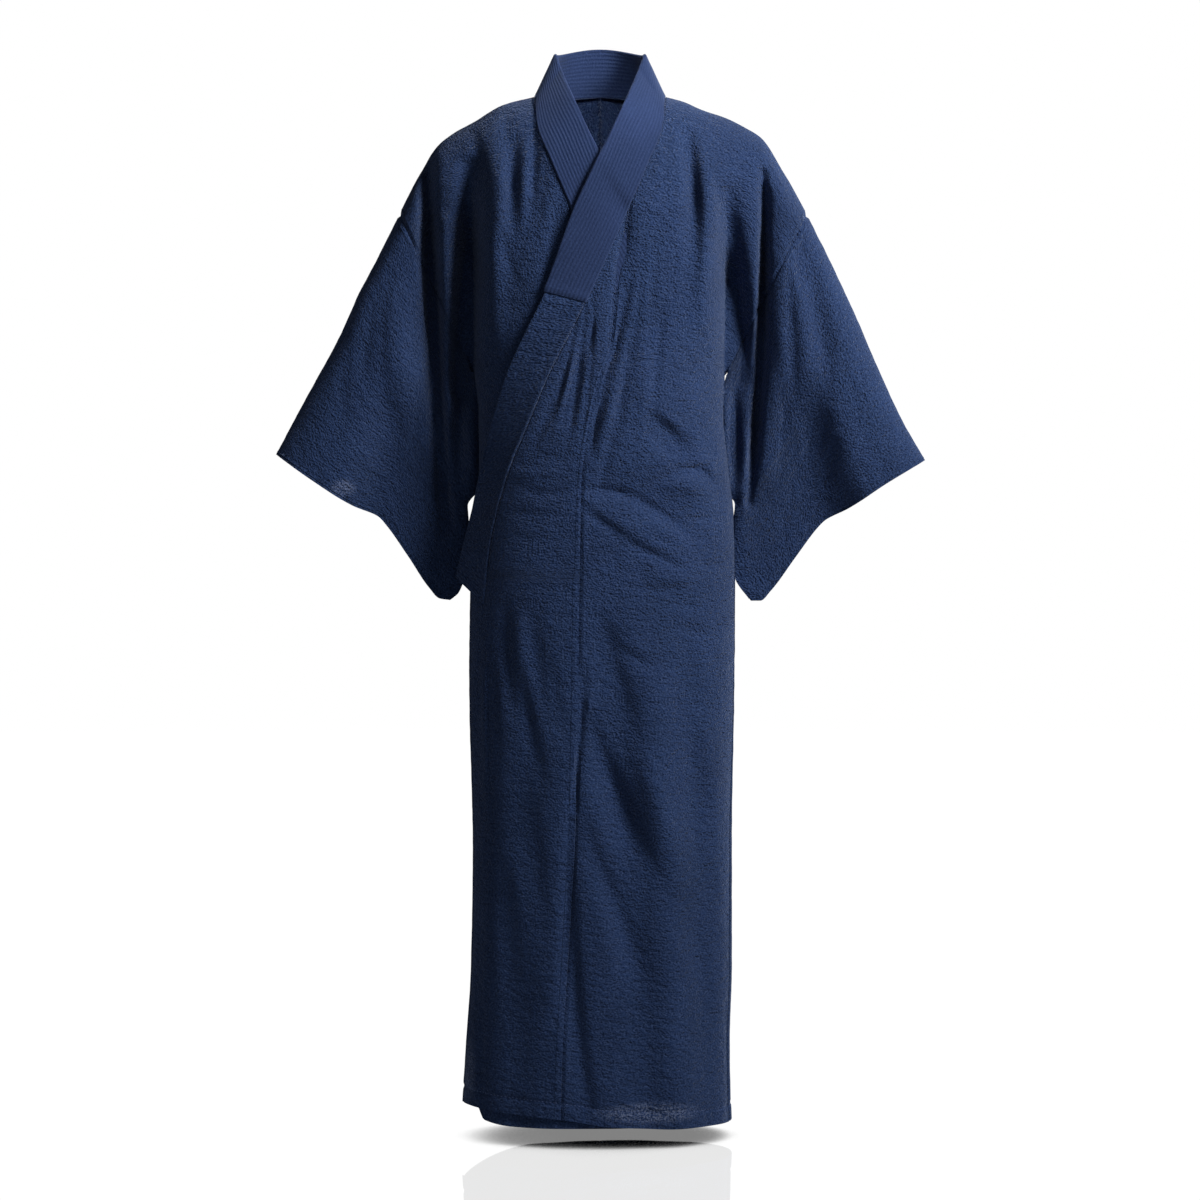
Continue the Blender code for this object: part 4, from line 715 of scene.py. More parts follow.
def crepe_relief(u, v, seed):
    """Pucker of the crepe: a fine noise that comes and goes, plus a broad one, bent by a third.

    Both make low ridges, longer across the cloth than along it.
    """
    bend = PUCKER_BEND * lattice_noise(u / BEND_CELL, v / BEND_CELL, seed)
    fine = lattice_noise((u + bend) / FINE_CELL[0], (v + bend) / FINE_CELL[1], seed + 1)
    broad = lattice_noise((u - bend) / BROAD_CELL[0], (v + bend) / BROAD_CELL[1], seed + 2)
    calm = 0.65 + 0.5 * lattice_noise(u / CALM_CELL[0], v / CALM_CELL[1], seed + 3)
    return PUCKER_FINE * fine * calm + PUCKER_BROAD * broad


def cloth_lengths(points, closed=False):
    """Lengths across and along the cloth at a grid's points: sums of its steps, those along being means."""
    if closed:
        points = np.concatenate((points, points[:, :1]), axis=1)
    across = np.cumsum(np.linalg.norm(np.diff(points, axis=1), axis=-1), axis=1)
    along = np.cumsum(np.linalg.norm(np.diff(points, axis=0), axis=-1), axis=0)
    across = np.pad(across, ((0, 0), (1, 0)))
    return across, np.broadcast_to(np.pad(along.mean(axis=1), (1, 0))[:, None], across.shape)


def panel_face(side, back):
    """Points of one face of a body panel, rows from the shoulder to the hem.

    Below the underarm a row runs round the level section from the inner edge to the side seam, by shares of
    the angle, and the rows spread down to the uneven hem.
    """
    shares = edged(PANEL_COLUMNS, PANEL_WIDTH)
    w, s = np.meshgrid(eased(UPPER_ROWS), shares, indexing="ij")
    upper = upper_patch(side, w, s, back)
    length = UNDERARM_Z - HEM_Z
    down = np.sort(np.concatenate((np.linspace(0, 1, LOWER_ROWS + 1)[1:], 1 - HEM_ROWS / length)))[:, None]
    level = UNDERARM_Z - length * down
    # at the hem the side seam has come forward from the side
    seam = np.pi / 2 + (SIDE_SEAM_AT_HEM - np.pi / 2) * smooth((UNDERARM_Z - level) / SEAM_FORWARD)
    growth = 0.0 if back else layer_gap(level) * side
    start = 0.0 if back else turn_of(panel_inner_x(level, side), level, side, growth)
    reach = np.pi - seam if back else seam
    turn = start + (reach - start) * shares
    hem = read(BACK_HEM if back else FRONT_HEM[side], x_of(turn, level, side, growth))
    z = UNDERARM_Z + (hem - UNDERARM_Z) * down
    if not back:
        start = turn_of(panel_inner_x(z[:, :1], side), z[:, :1], side, growth)
        turn = start + (seam - start) * shares
    x = np.vstack((upper[..., 0], x_of(turn, z, side, growth)))
    own_face = np.vstack((np.ones_like(upper[..., 0]), turn <= np.pi / 2)) > 0
    z = np.vstack((upper[..., 1], z))
    y = np.where(own_face, back_y(x, z), front_y(x, z, side)) if back else front_y(x, z, side)
    return np.stack((x, y, z), axis=-1)


def strip_grid(side):
    """Points of a front strip, from its point under the collar to the hem, from its seam to its free edge.

    A row runs round the front by shares of the angle. Its far end is sewn to the collar. Behind the collar's
    end it leaves the seam and becomes the free edge.
    """
    top = STRIP_SEAM[0, 1]
    bottom = read(FRONT_HEM[side], strip_seam_x(np.array(HEM_Z), side))
    rows = np.linspace(top - STRIP_STARTS, bottom, int((top - bottom) / STRIP_ROW))
    seam_z = np.unique(np.concatenate((rows, bottom + HEM_ROWS)))[::-1]
    edge_hem = FRONT_HEM[LEFT][0, 1] if side == LEFT else HEM_Z
    down = np.clip((seam_z - STRIP_FREE_Z) / (seam_z[-1] - STRIP_FREE_Z), 0, 1)
    edge_z = np.where(seam_z > STRIP_FREE_Z, seam_z, STRIP_FREE_Z + (edge_hem - STRIP_FREE_Z) * down)
    growth = layer_gap(edge_z) * side
    edge_turn = OVER_EDGE_ANGLE if side == LEFT else UNDER_EDGE_ANGLE
    leaving = smooth((STRIP_FREE_Z - edge_z) / STRIP_LEAVES)
    edge_x = collar_seam_x(edge_z, side) * (1 - leaving) + x_of(-edge_turn, edge_z, side, growth) * leaving
    seam_turn = turn_of(strip_seam_x(seam_z, side), seam_z, side, growth)[:, None]
    far_turn = turn_of(edge_x, edge_z, side, growth)[:, None]
    share = edged(STRIP_COLUMNS, STRIP_WIDTH)[None, :]
    z = seam_z[:, None] + (edge_z - seam_z)[:, None] * share
    x = x_of(seam_turn + (far_turn - seam_turn) * share, z, side, growth[:, None])
    z = z + (read(FRONT_HEM[side], x[-1]) - z[-1]) * smooth(1 - (1 - down[:, None]) / STRIP_HEM_SHARE)
    x[:, 0] = strip_seam_x(z[:, 0], side)
    seam, free = COLLAR_FRONT[-1, :2], COLLAR_FRONT[-1, 2:]
    end_z = seam[1] + (free[1] - seam[1]) * np.clip((seam[0] - side * x) / (seam[0] - free[0]), 0, 1)
    behind = smooth((side * collar_seam_x(z, side) - side * x) / BEHIND_OVER_X)
    behind = behind * smooth(1 + (z - end_z) / BEHIND_OVER_Z)
    return np.stack((x, front_y(x, z, side) + STRIP_BEHIND * behind, z), axis=-1)


def sleeve_face(side, back):
    """Points of a sleeve's front or back, a row for each ring, from the top outline to the bottom fold.

    Its half thickness is the body's depth at the armhole and blends into the sleeve's own, which is rounded
    at both edges and nearly flat where the cuff is sewn shut. Its middle hangs back towards the bottom.
    """
    alongs = np.concatenate((edged(SLEEVE_RINGS, SLEEVE_LENGTH)[:-3], 1 - WRIST_RINGS / SLEEVE_LENGTH))
    way, along = np.meshgrid(eased_both(RING_ROWS), alongs)
    patch = sleeve_patch(side, along, way)
    x, z = patch[..., 0], patch[..., 1]
    at_arm, at_wrist = (read(SLEEVE_THICKNESS, way, column) for column in (SLEEVE_AT_ARM, SLEEVE_AT_WRIST))
    depth = (at_arm + (at_wrist - at_arm) * smooth(along)) * rounded(way / SLEEVE_TOP_ROUND)
    depth = depth * rounded((1 - way) / SLEEVE_FOLD_ROUND)
    own = fold_depth(depth, x, z, back)
    sewn = smooth((along - SLEEVE_FLAT_FROM) / (1 - SLEEVE_FLAT_FROM))
    sewn = sewn * smooth(1 + (way - CUFF_OPENING_SHARE) / CUFF_TAPER)
    closing = 1 - CUFF_CLOSES * smooth((along - CUFF_CLOSES_FROM) / CUFF_CLOSES_OVER)
    own = own * (1 - sewn) + CUFF_SEWN_THICKNESS / 2 * closing * sewn * (depth > 0)
    at_armhole = back_y(x, z) if back else -front_y(x, z, side)
    leaving = smooth(along / SLEEVE_LEAVES_BODY)
    half = at_armhole * (1 - leaving) + own * leaving
    middle = SLEEVE_HANG_BACK * smooth(along / HANG_OVER) * smooth((way - HANG_FROM) / HANG_OVER)
    return np.stack((x, middle + (half if back else -half), z), axis=-1)


def puckered(points, seed, press, quiet_edges, closed=False):
    """The grid with its crepe's pucker and pressed seams, its normals, and the lengths across and along it.

    Each point moves along its normal by the pucker less its press. The pucker is flatter in the skirt and
    along the seams.
    """
    normals = grid_normals(points, closed)
    across, along = cloth_lengths(points, closed)
    u, v = (across[:, :-1], along[:, :-1]) if closed else (across, along)
    relief = crepe_relief(u, v, seed) * (1 - CALM_SHARE * smooth((CALM_Z - points[..., 2]) / CALM_FALL))
    for lengths in quiet_edges(u, v):
        relief = relief * (QUIET_SHARE + (1 - QUIET_SHARE) * smooth(lengths / QUIET_EDGE))
    return points + normals * (relief - press)[..., None], normals, across, along


def from_edge(points, last):
    """Distance of each point of a grid from its first or its last row, along its own column."""
    step = np.linalg.norm(np.diff(points, axis=0), axis=-1)
    if last:
        return np.pad(np.cumsum(step[::-1], axis=0)[::-1], ((0, 1), (0, 0)))
    return np.pad(np.cumsum(step, axis=0), ((1, 0), (0, 0)))


def turned(distance, turn):
    """1 within a turned edge, falling to 0 just past it."""
    return 1 - smooth((distance - turn) / TURN_FALL)


def stitched(distance, turn):
    """Depth of the dent along a line of stitches: a bell curve."""
    return STITCH_DENT * np.exp(-(((distance - turn) / STITCH_DENT_HALF) ** 2))


def quads_of(numbers):
    """Four-cornered faces between the rows and columns of a grid of point numbers."""
    corners = numbers[:-1, :-1], numbers[1:, :-1], numbers[1:, 1:], numbers[:-1, 1:]
    return np.stack(corners, axis=-1).reshape(-1, 4)


def grid_numbers(rows, columns, closed):
    """Numbers of a grid's points. On a closed grid the first column comes again at the end."""
    numbers = np.arange(rows * columns).reshape(rows, columns)
    return np.concatenate((numbers, numbers[:, :1]), axis=1) if closed else numbers


def new_piece(name, points, quads, uv, material, node=None):
    """A piece with its own UV map "cloth" in metres, riding on the one body of the robe, faces outwards."""
    a, b, c, d = (points[quads[:, k]] for k in range(4))
    if np.sum(a * np.cross(b, c)) + np.sum(a * np.cross(c, d)) < 0:  # six times the volume inside
        quads, uv = quads[:, ::-1], uv[:, ::-1]
    mesh = bpy.data.meshes.new(name)
    mesh.vertices.add(len(points))
    mesh.vertices.foreach_set("co", points.astype(np.float32).ravel())
    mesh.loops.add(quads.size)
    mesh.loops.foreach_set("vertex_index", quads.astype(np.int32).ravel())
    mesh.polygons.add(len(quads))
    mesh.polygons.foreach_set("loop_start", np.arange(0, quads.size, 4, dtype=np.int32))
    mesh.update(calc_edges=True)
    layer = mesh.uv_layers.new(name="cloth")
    layer.uv.foreach_set("vector", uv.astype(np.float32).ravel())
    mesh.materials.append(material)
    mesh.shade_smooth()
    mesh.set_sharp_from_angle(angle=np.radians(50))
    piece = new_object(name, mesh)
    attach(piece, "root")
    if node:
        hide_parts(node)
    return piece


def new_object(name, data):
    """An object at the origin that shows the data."""
    made = bpy.data.objects.new(name, data)
    bpy.context.scene.collection.objects.link(made)
    return made


def shell(name, outer, inner, lengths, material, node, closed=False):
    """A closed wall between two grids: both faces, and the rims that join them.

    Each grid below holds the numbers of its points and of their lengths across and along the cloth.
    """
    across, along = lengths
    numbers = grid_numbers(*outer.shape[:2], closed)
    own = grid_numbers(*across.shape, False)
    near = np.stack((numbers, own), axis=-1)
    far = np.stack((numbers + outer[..., 0].size, own), axis=-1)
    grids = [near, far[:, ::-1], np.stack((far[0], near[0])), np.stack((near[-1], far[-1]))]
    if not closed:
        grids += [np.stack((near[:, 0], far[:, 0])), np.stack((far[:, -1], near[:, -1]))]
    quads, owns = (np.concatenate([quads_of(grid[..., k]) for grid in grids]) for k in (0, 1))
    uv = np.stack((across, along), axis=-1).reshape(-1, 2)[owns]
    points = np.concatenate((outer.reshape(-1, 3), inner.reshape(-1, 3)))
    return new_piece(name, points, quads, uv, material, node)


def sewn_cloth(name, node, puckers, thick, material, seams=(), closed=False):
    """A wall of cloth: its inner face lies thick behind the outer, and each seam column has an allowance.

    puckers holds what puckered gives. seams holds (first or last column, share of the allowance in each row).
    """
    outer, normals, *lengths = puckers
    inner = outer - normals * thick[..., None]
    for column, share in seams:
        beside = 1 if column == 0 else -2
        along, up = outer[:, beside] - outer[:, column], normals[:, column]
        along = unit(along - up * np.sum(along * up, axis=-1)[:, None])
        outer[:, column] -= along * (SEAM_OVERLAP * share)[:, None]
        away = along * (CLOTH * share)[:, None]
        add_outer = outer[:, column] - up * (FLANGE * np.maximum(share, 0.01))[:, None]
        inner[:, column] += away
        added = (add_outer, outer), (add_outer + away, inner), *((w[:, column], w) for w in lengths)
        walls = []
        for new, old in added:
            pair = (new[:, None], old) if column == 0 else (old, new[:, None])
            walls.append(np.concatenate(pair, axis=1))
        outer, inner, *lengths = walls
    return shell(name, outer, inner, lengths, material, node, closed)


def row_at(distances, distance):
    """Number of the row that lies nearest to a distance."""
    return int(np.argmin(np.abs(distances - distance)))


def build_body(side, word, material, seed):
    """A body panel from the front hem over the shoulder to the back hem, and its hems' stitch lines."""
    grid = np.vstack((panel_face(side, False)[::-1], panel_face(side, True)[1:]))
    press = np.zeros(grid.shape[:2])
    press[:, :3] = SEAM_DEPTH * np.array(SEAM_ROLLS)
    press[:, -3:] = press[:, 2::-1]
    outer, normals, *lengths = puckered(grid, seed, press, lambda u, v: (u - u[:, :1], u[:, -1:] - u))
    edges = [from_edge(grid, last) for last in (False, True)]
    to_hem = np.minimum(*edges)
    outer = outer + normals * (HEM_RISE * turned(to_hem, HEM_TURN) - stitched(to_hem, HEM_TURN))[..., None]
    thick = CLOTH + HEM_EXTRA * turned(to_hem, HEM_TURN)
    rows = [row_at(edge[:, HEM_COLUMN], HEM_TURN) for edge in edges]
    lines = [(outer[row], normals[row]) for row in rows]
    whole = np.ones(len(grid))
    seams = ((0, whole), (-1, whole))
    puckers = outer, normals, *lengths
    return sewn_cloth("panel_" + word, "body_" + word, puckers, thick, material, seams), lines


def build_strip(side, word, material, seed):
    """A front strip, and its stitch lines along the hem and along the collar's seam."""
    grid = strip_grid(side)
    rows, columns = grid.shape[:2]
    free = smooth((STRIP_FREE_Z - grid[:, 0, 2]) / STRIP_FREE_FALL)[:, None]
    press = np.zeros((rows, columns))
    press[:, :3] = SEAM_DEPTH * np.array(RAISED_ROLLS)
    press[:, -3:] = SEAM_DEPTH * np.array(SEAM_ROLLS)[::-1] * (1 - free)
    outer, normals, *lengths = puckered(grid, seed, press, lambda u, v: (u - u[:, :1],))
    to_hem, to_edge = from_edge(grid, True), lengths[0][:, -1:] - lengths[0]
    outer = outer - normals * (stitched(to_hem, HEM_TURN) + stitched(to_edge, EDGE_TURN) * free)[..., None]
    thick = CLOTH + HEM_EXTRA * np.maximum(turned(to_hem, HEM_TURN), turned(to_edge, EDGE_TURN) * free)
    row, sewn = row_at(to_hem[:, columns // 2], HEM_TURN), free[:, 0] < 0.1
    lines = [(outer[row], normals[row]), (outer[sewn, -2], normals[sewn, -2])]
    seams = ((0, np.ones(rows)), (-1, 1 - free[:, 0]))
    puckers = outer, normals, *lengths
    return sewn_cloth("strip_" + word, "okumi_" + word, puckers, thick, material, seams), lines


def build_sleeve(side, word, material, seed):
    """A sleeve in rings from the armhole to the wrist, and its cuff's stitch line.

    Each ring runs down the front and up the back.
    """
    front, rear = sleeve_face(side, False), sleeve_face(side, True)
    grid = np.concatenate((front, rear[:, -2:0:-1]), axis=1)
    press = np.zeros(grid.shape[:2])
    press[:3] = (SEAM_DEPTH * np.array(SLEEVE_ROLLS))[:, None]
    outer, normals, *lengths = puckered(grid, seed, press, lambda u, v: (v,), closed=True)
    to_wrist = from_edge(grid, True)
    outer = outer - normals * stitched(to_wrist, CUFF_TURN)[..., None]
    half = np.linalg.norm(grid - grid[:, -np.arange(grid.shape[1]) % grid.shape[1]], axis=-1) / 2
    ways = eased_both(RING_ROWS)
    ways = np.concatenate((ways, ways[-2:0:-1]))
    sewn_up = smooth((ways - CUFF_SEWN_FROM) / CUFF_SEWN_OVER)[None, :]
    thick = CLOTH + HEM_EXTRA * turned(to_wrist, CUFF_TURN)
    between = np.minimum(thick, np.maximum(SEWN_FILL * half, THINNEST_CLOTH))
    thick = thick * (1 - sewn_up) + between * sewn_up
    puckers = outer, normals, *lengths
    sleeve = sewn_cloth("arm_" + word, "sleeve_" + word, puckers, thick, material, closed=True)
    row = row_at(to_wrist[:, CUFF_COLUMN], CUFF_TURN)
    open_part = np.flatnonzero(ways < CUFF_OPENING_SHARE)
    open_part = np.roll(open_part, len(open_part) // 2)
    return sleeve, [(outer[row, open_part], normals[row, open_part])]


def whole_band():
    """Seam edge, free edge and outer normal of the band, from the right front's end to the left front's end.

    It also gives the stations that the cover collar lies on.
    """
    right_seam, right_free = collar_lines(RIGHT)
    left_seam, left_free = collar_lines(LEFT)
    seam = np.concatenate((right_seam[:0:-1], left_seam))
    free = np.concatenate((right_free[:0:-1], left_free))
    normal = unit(np.cross(np.gradient((seam + free) / 2, axis=0), free - seam))
    centre_back = len(right_seam) - 1
    if normal[centre_back, 1] < 0:
        normal = -normal
    covered = NECK_STATIONS + np.searchsorted(BAND_ROWS, COVER_END_ROW)
    return seam, free, normal, slice(centre_back - covered, centre_back + covered + 1)


def band_grid(seam, free, normal, shares, heights):
    """Points of a band, a row for each station: shares of the way across and heights off the middle."""
    across = (free - seam)[:, None] * shares[..., None]
    return seam[:, None] + across + normal[:, None] * heights[..., None]


def build_collar(name, material, seed):
    """The main collar: a flat folded band with rounded edges, closed at both ends.

    Its section is a loop down one face and up the other, half its thickness off the middle, carried along
    the seam edge and the free edge. It swells beside the seam and is pressed in at the cover's ends.
    """
    seam, free, normal, covered = whole_band()
    seam = seam - unit(free - seam) * COLLAR_OVERLAP
    face = np.concatenate(((0.0, 0.006, 0.020), np.linspace(0.05, 0.95, 13), (0.980, 0.994, 1.0)))
    rise = COLLAR_HALF * rounded(np.minimum(face, 1 - face) / COLLAR_ROUND)
    rise = rise + COLLAR_WELT * np.exp(-(((face - WELT_AT) / WELT_WIDTH) ** 2))
    shares, heights = np.concatenate((face, face[-2:0:-1])), np.concatenate((rise, -rise[-2:0:-1]))
    step = np.linalg.norm(np.diff((seam + free) / 2, axis=0), axis=-1)
    across = np.linspace(0, COLLAR_WIDTH, len(shares) + 1)
    across, along = np.meshgrid(across, np.pad(np.cumsum(step), (1, 0)))
    relief = crepe_relief(across[:, :-1], along[:, :-1], seed) * COLLAR_PUCKER
    relief = relief * smooth(np.minimum(shares, 1 - shares) / PUCKER_EDGE)
    ends = along[[covered.start, covered.stop - 1], 0]
    beside = np.minimum(*(np.abs(along[:, :-1] - end) for end in ends))
    relief = relief - COLLAR_CRUSH * np.exp(-((beside / CRUSH_WIDTH) ** 2))
    full = band_grid(seam, free, normal, shares, heights + relief * np.sign(heights))
    flat = band_grid(seam, free, normal, shares, np.zeros_like(relief))
    closed = (flat, full), (along, along), (across, across)
    points, along, across = (np.concatenate((end[:1], rows, end[-1:])) for end, rows in closed)
    rows, count = points.shape[:2]
    uv = np.stack((across, along), axis=-1).reshape(-1, 2)[quads_of(grid_numbers(rows, count + 1, False))]
    quads = quads_of(grid_numbers(rows, count, True))
    return new_piece(name, points.reshape(-1, 3), quads, uv, material, "collar")


def build_cover(name, material, seed):
    """The cover collar: a thin cloth folded over the band's free edge and down both its faces.

    Its section runs from past the seam to the free edge, round it in a half circle and back down the other
    face, a little outside the band, and draws in to it past the seam.
    """
    seam, free, normal, covered = whole_band()
    seam, free, normal = seam[covered], free[covered], normal[covered]
    width = np.linalg.norm(free - seam, axis=-1)[:, None]
    face = np.concatenate(((-COVER_LAP, -0.026, -0.018, 0.0, 0.030), np.linspace(0.08, 1.0, 14)))
    turn = np.radians(np.linspace(90, -90, 9))[1:-1]
    shares = np.concatenate((face, np.ones_like(turn), face[::-1]))
    bulge = np.concatenate((np.zeros_like(face), np.cos(turn), np.zeros_like(face)))
    closing = np.sqrt(1 - 0.85 * np.clip(-face / COVER_LAP, 0, 1) ** 2)
    rise = np.concatenate((closing, np.sin(turn), -closing[::-1]))
    level = np.zeros_like(width)
    across, along = cloth_lengths(band_grid(seam, free, normal, shares + level, COVER_OUTSIDE * rise + level))
    to_end = np.minimum(along, along[-1:] - along)
    inside = smooth(to_end / COVER_END_ROLL)
    fold = turned(to_end, COVER_TURN) * COVER_EXTRA * inside - COVER_END_SINK * (1 - inside)
    relief = crepe_relief(across, along, seed) * COVER_PUCKER
    relief = relief * smooth(np.minimum(shares, 1.04 - shares) / PUCKER_EDGE)
    outer, inner = (
        band_grid(seam, free, normal, shares + bulge * high / width, rise * high)
        for high in (COVER_OUTSIDE + (relief + fold), COVER_INSIDE + np.zeros_like(relief))
    )
    return shell(name, outer, inner, (across, along), material, "collar_cover")


def build_stitches(name, lines, material):
    """Short running stitches along lines on the cloth, each a thin capsule that dips in at its ends.

    A stitch is five rings of six points round a piece of the line, wide in the middle.
    """
    widths = np.array((0.1, 0.8, 1.0, 0.8, 0.1)) * STITCH_RADIUS
    turn = np.linspace(0, 2 * np.pi, 6, endpoint=False)
    stitches = []
    for line, normals in lines:
        at = np.pad(np.cumsum(np.linalg.norm(np.diff(line, axis=0), axis=-1)), (1, 0))
        starts = np.arange(STITCH_PITCH, at[-1] - STITCH_PITCH, STITCH_PITCH)
        ends = starts[:, None] + np.linspace(0, STITCH_LENGTH, len(widths))
        both = ([np.interp(ends, at, along[:, k]) for k in range(3)] for along in (line, normals))
        spine, up = (np.stack(parts, axis=-1) for parts in both)
        spine = spine + up * (widths - 0.3 * STITCH_RADIUS)[:, None] * 0.6
        side = np.cross(unit(spine[:, -1] - spine[:, 0])[:, None], up)
        ring = side[:, :, None] * np.cos(turn)[:, None] + up[:, :, None] * np.sin(turn)[:, None]
        stitches.append(spine[:, :, None] + ring * widths[:, None, None])
    points = np.concatenate(stitches)
    count, stations, around = points.shape[:3]
    ring_numbers = grid_numbers(count * stations, around, True).reshape(count, stations, around + 1)
    quads = np.concatenate([quads_of(one) for one in ring_numbers])
    uv = np.tile(np.array(((0, 0), (0, 1), (1, 1), (1, 0))) * 0.001, (len(quads), 1, 1))
    return new_piece(name, points.reshape(-1, 3), quads, uv, material)


def linear(colour):
    """A colour "#rrggbb" in sRGB as linear red, green, blue and alpha 1."""
    parts = (int(colour[k : k + 2], 16) / 255 for k in (1, 3, 5))
    return (*(p / 12.92 if p <= 0.04045 else ((p + 0.055) / 1.055) ** 2.4 for p in parts), 1.0)


def add(tree, kind, inputs=None, **settings):
    """Adds a shader node with its settings. inputs gives each input a socket to link, or a value."""
    made = tree.nodes.new("ShaderNode" + kind)
    for key, value in settings.items():
        setattr(made, key, value)
    for key, value in (inputs or {}).items():
        if isinstance(value, bpy.types.NodeSocket):
            tree.links.new(value, made.inputs[key])
        else:
            made.inputs[key].default_value = value
    return made


def noise(tree, vector, cell, detail=1.0):
    """Noise whose cells have the size cell in metres along each axis."""
    vector = add(tree, "Mapping", {"Vector": vector, "Scale": [1 / size for size in cell]}).outputs["Vector"]
    inputs = {"Vector": vector, "Scale": 1.0, "Detail": detail, "Roughness": 0.5}
    return add(tree, "TexNoise", inputs).outputs["Fac"]


def mixed(tree, factor, one, other, blend="MIX"):
    """Colour mix of two colours or sockets."""
    return add(tree, "Mix", {0: factor, 6: one, 7: other}, data_type="RGBA", blend_type=blend).outputs[2]


def ranged(tree, value, low, high, start=0.0, end=1.0):
    """The value from low to high brought to start to end, and kept there."""
    return add(tree, "MapRange", {0: value, 1: low, 2: high, 3: start, 4: end}).outputs[0]


def maths(tree, operation, one, other):
    """Result of a Math node."""
    return add(tree, "Math", {0: one, 1: other}, operation=operation).outputs[0]


def bumped(tree, height, distance, normal=None):
    """The normal bent by a height of 0 to 1 times a distance in metres."""
    inputs = {"Height": height, "Distance": distance, "Strength": 1.0}
    if normal:
        inputs["Normal"] = normal
    return add(tree, "Bump", inputs).outputs["Normal"]


def painted_backlight_share(tree):
    """Share of the painted backlight's paler colour: a speckle, full in the middle of each backlit place and
    0 at its edge.
    """
    place = add(tree, "TexCoord").outputs["Object"]
    speckle = ranged(tree, noise(tree, place, SPECKLE), 0.42, 0.62, 0.0, 0.55)
    most = 0.0
    for middle, half in BACKLIT_PLACES:
        scale = [1 / size for size in half]
        shift = [-at * times for at, times in zip(middle, scale)]
        moved = add(tree, "Mapping", {"Vector": place, "Scale": scale, "Location": shift})
        off = add(tree, "VectorMath", {0: moved.outputs[0]}, operation="LENGTH").outputs["Value"]
        most = maths(tree, "MAXIMUM", ranged(tree, off, 0.45, 1.0, 1.0, 0.0), most)
    return maths(tree, "MULTIPLY", most, speckle)


def new_material(name):
    """A material and its node tree."""
    material = bpy.data.materials.new(name)
    material.use_nodes = True
    return material, material.node_tree


def crepe_cotton(name, dark, middle, light, ribbed=False):
    """Indigo-dyed cotton crepe: hard-twisted wefts shrink in the wash and pucker the cloth into short grains.

    The grains of real crepe are 1 to 2 mm. They are drawn at 3 to 4 mm, the finest that shows.
    """
    material, tree = new_material(name)
    shader = tree.nodes["Principled BSDF"]
    shader.inputs["Roughness"].default_value = 0.86
    shader.inputs["Specular IOR Level"].default_value = 0.0
    shader.inputs["Sheen Weight"].default_value = 0.24
    shader.inputs["Sheen Roughness"].default_value = 0.45
    shader.inputs["Sheen Tint"].default_value = linear("#B4C2E2")
    cloth = add(tree, "UVMap", uv_map="cloth").outputs["UV"]
    grains = noise(tree, cloth, GRAIN)
    ribs = noise(tree, cloth, RIB)
    patches = noise(tree, cloth, PATCH, 2.0)
    # painted highlight: the grains are lighter where the same noise raises them in the bump, as if their
    # crests caught the light
    colour = mixed(tree, ranged(tree, grains, 0.32, 0.68), linear(dark), linear(light))
    colour = mixed(tree, ranged(tree, ribs, 0.35, 0.65, 0.15, 0.65), colour, linear(middle))
    shade = ranged(tree, patches, 0.3, 0.7, 0.90, 1.10)
    tone = add(tree, "CombineColor", {0: shade, 1: shade, 2: shade}).outputs[0]
    colour = mixed(tree, 1.0, colour, tone, "MULTIPLY")
    if ribbed:
        # at scale 1 a wave texture has 20 / (2 pi) lines to the metre
        scale = 2 * np.pi / (20 * COVER_LINE)
        waves = {"Vector": cloth, "Scale": scale, "Distortion": 0.6, "Detail": 1.0, "Detail Scale": 2.0}
        lines = add(tree, "TexWave", waves, wave_type="BANDS", bands_direction="X", wave_profile="SIN")
        lines = lines.outputs["Fac"]
        normal = bumped(tree, lines, COVER_LINE_BUMP)
        normal = bumped(tree, grains, COVER_GRAIN_BUMP, normal)
        colour = mixed(tree, ranged(tree, lines, 0.0, 1.0, 0.0, 0.22), colour, linear(dark))
    else:
        normal = bumped(tree, noise(tree, cloth, CRINKLE), CRINKLE_BUMP)
        normal = bumped(tree, ribs, RIB_BUMP, normal)
        height = add(tree, "SeparateXYZ", {0: add(tree, "TexCoord").outputs["Object"]}).outputs["Z"]
        share = ranged(tree, height, SMOOTH_BELOW, SMOOTH_FROM, SMOOTH_SHARE, 1.0)
        normal = bumped(tree, maths(tree, "MULTIPLY", grains, share), GRAIN_BUMP, normal)
        # painted light: light from behind shining through the sheer cloth, drawn as a paler speckle
        colour = mixed(tree, painted_backlight_share(tree), colour, linear("#77829F"))
    tree.links.new(colour, shader.inputs["Base Color"])
    tree.links.new(normal, shader.inputs["Normal"])
    return material


def thread(name, colour):
    """Spun cotton sewing thread."""
    material, tree = new_material(name)
    shader = tree.nodes["Principled BSDF"]
    shader.inputs["Base Color"].default_value = linear(colour)
    shader.inputs["Roughness"].default_value = 0.7
    return material


def area_light(name, place, aim, size, power, spread):
    """A round lamp at a place, turned to its aim."""
    light = bpy.data.lights.new(name, "AREA")
    light.spread = spread
    light.shape = "DISK"
    light.size = size
    light.energy = power
    lamp = new_object(name, light)
    lamp.location = place
    lamp.rotation_euler = (Vector(aim) - Vector(place)).to_track_quat("-Z", "Y").to_euler()


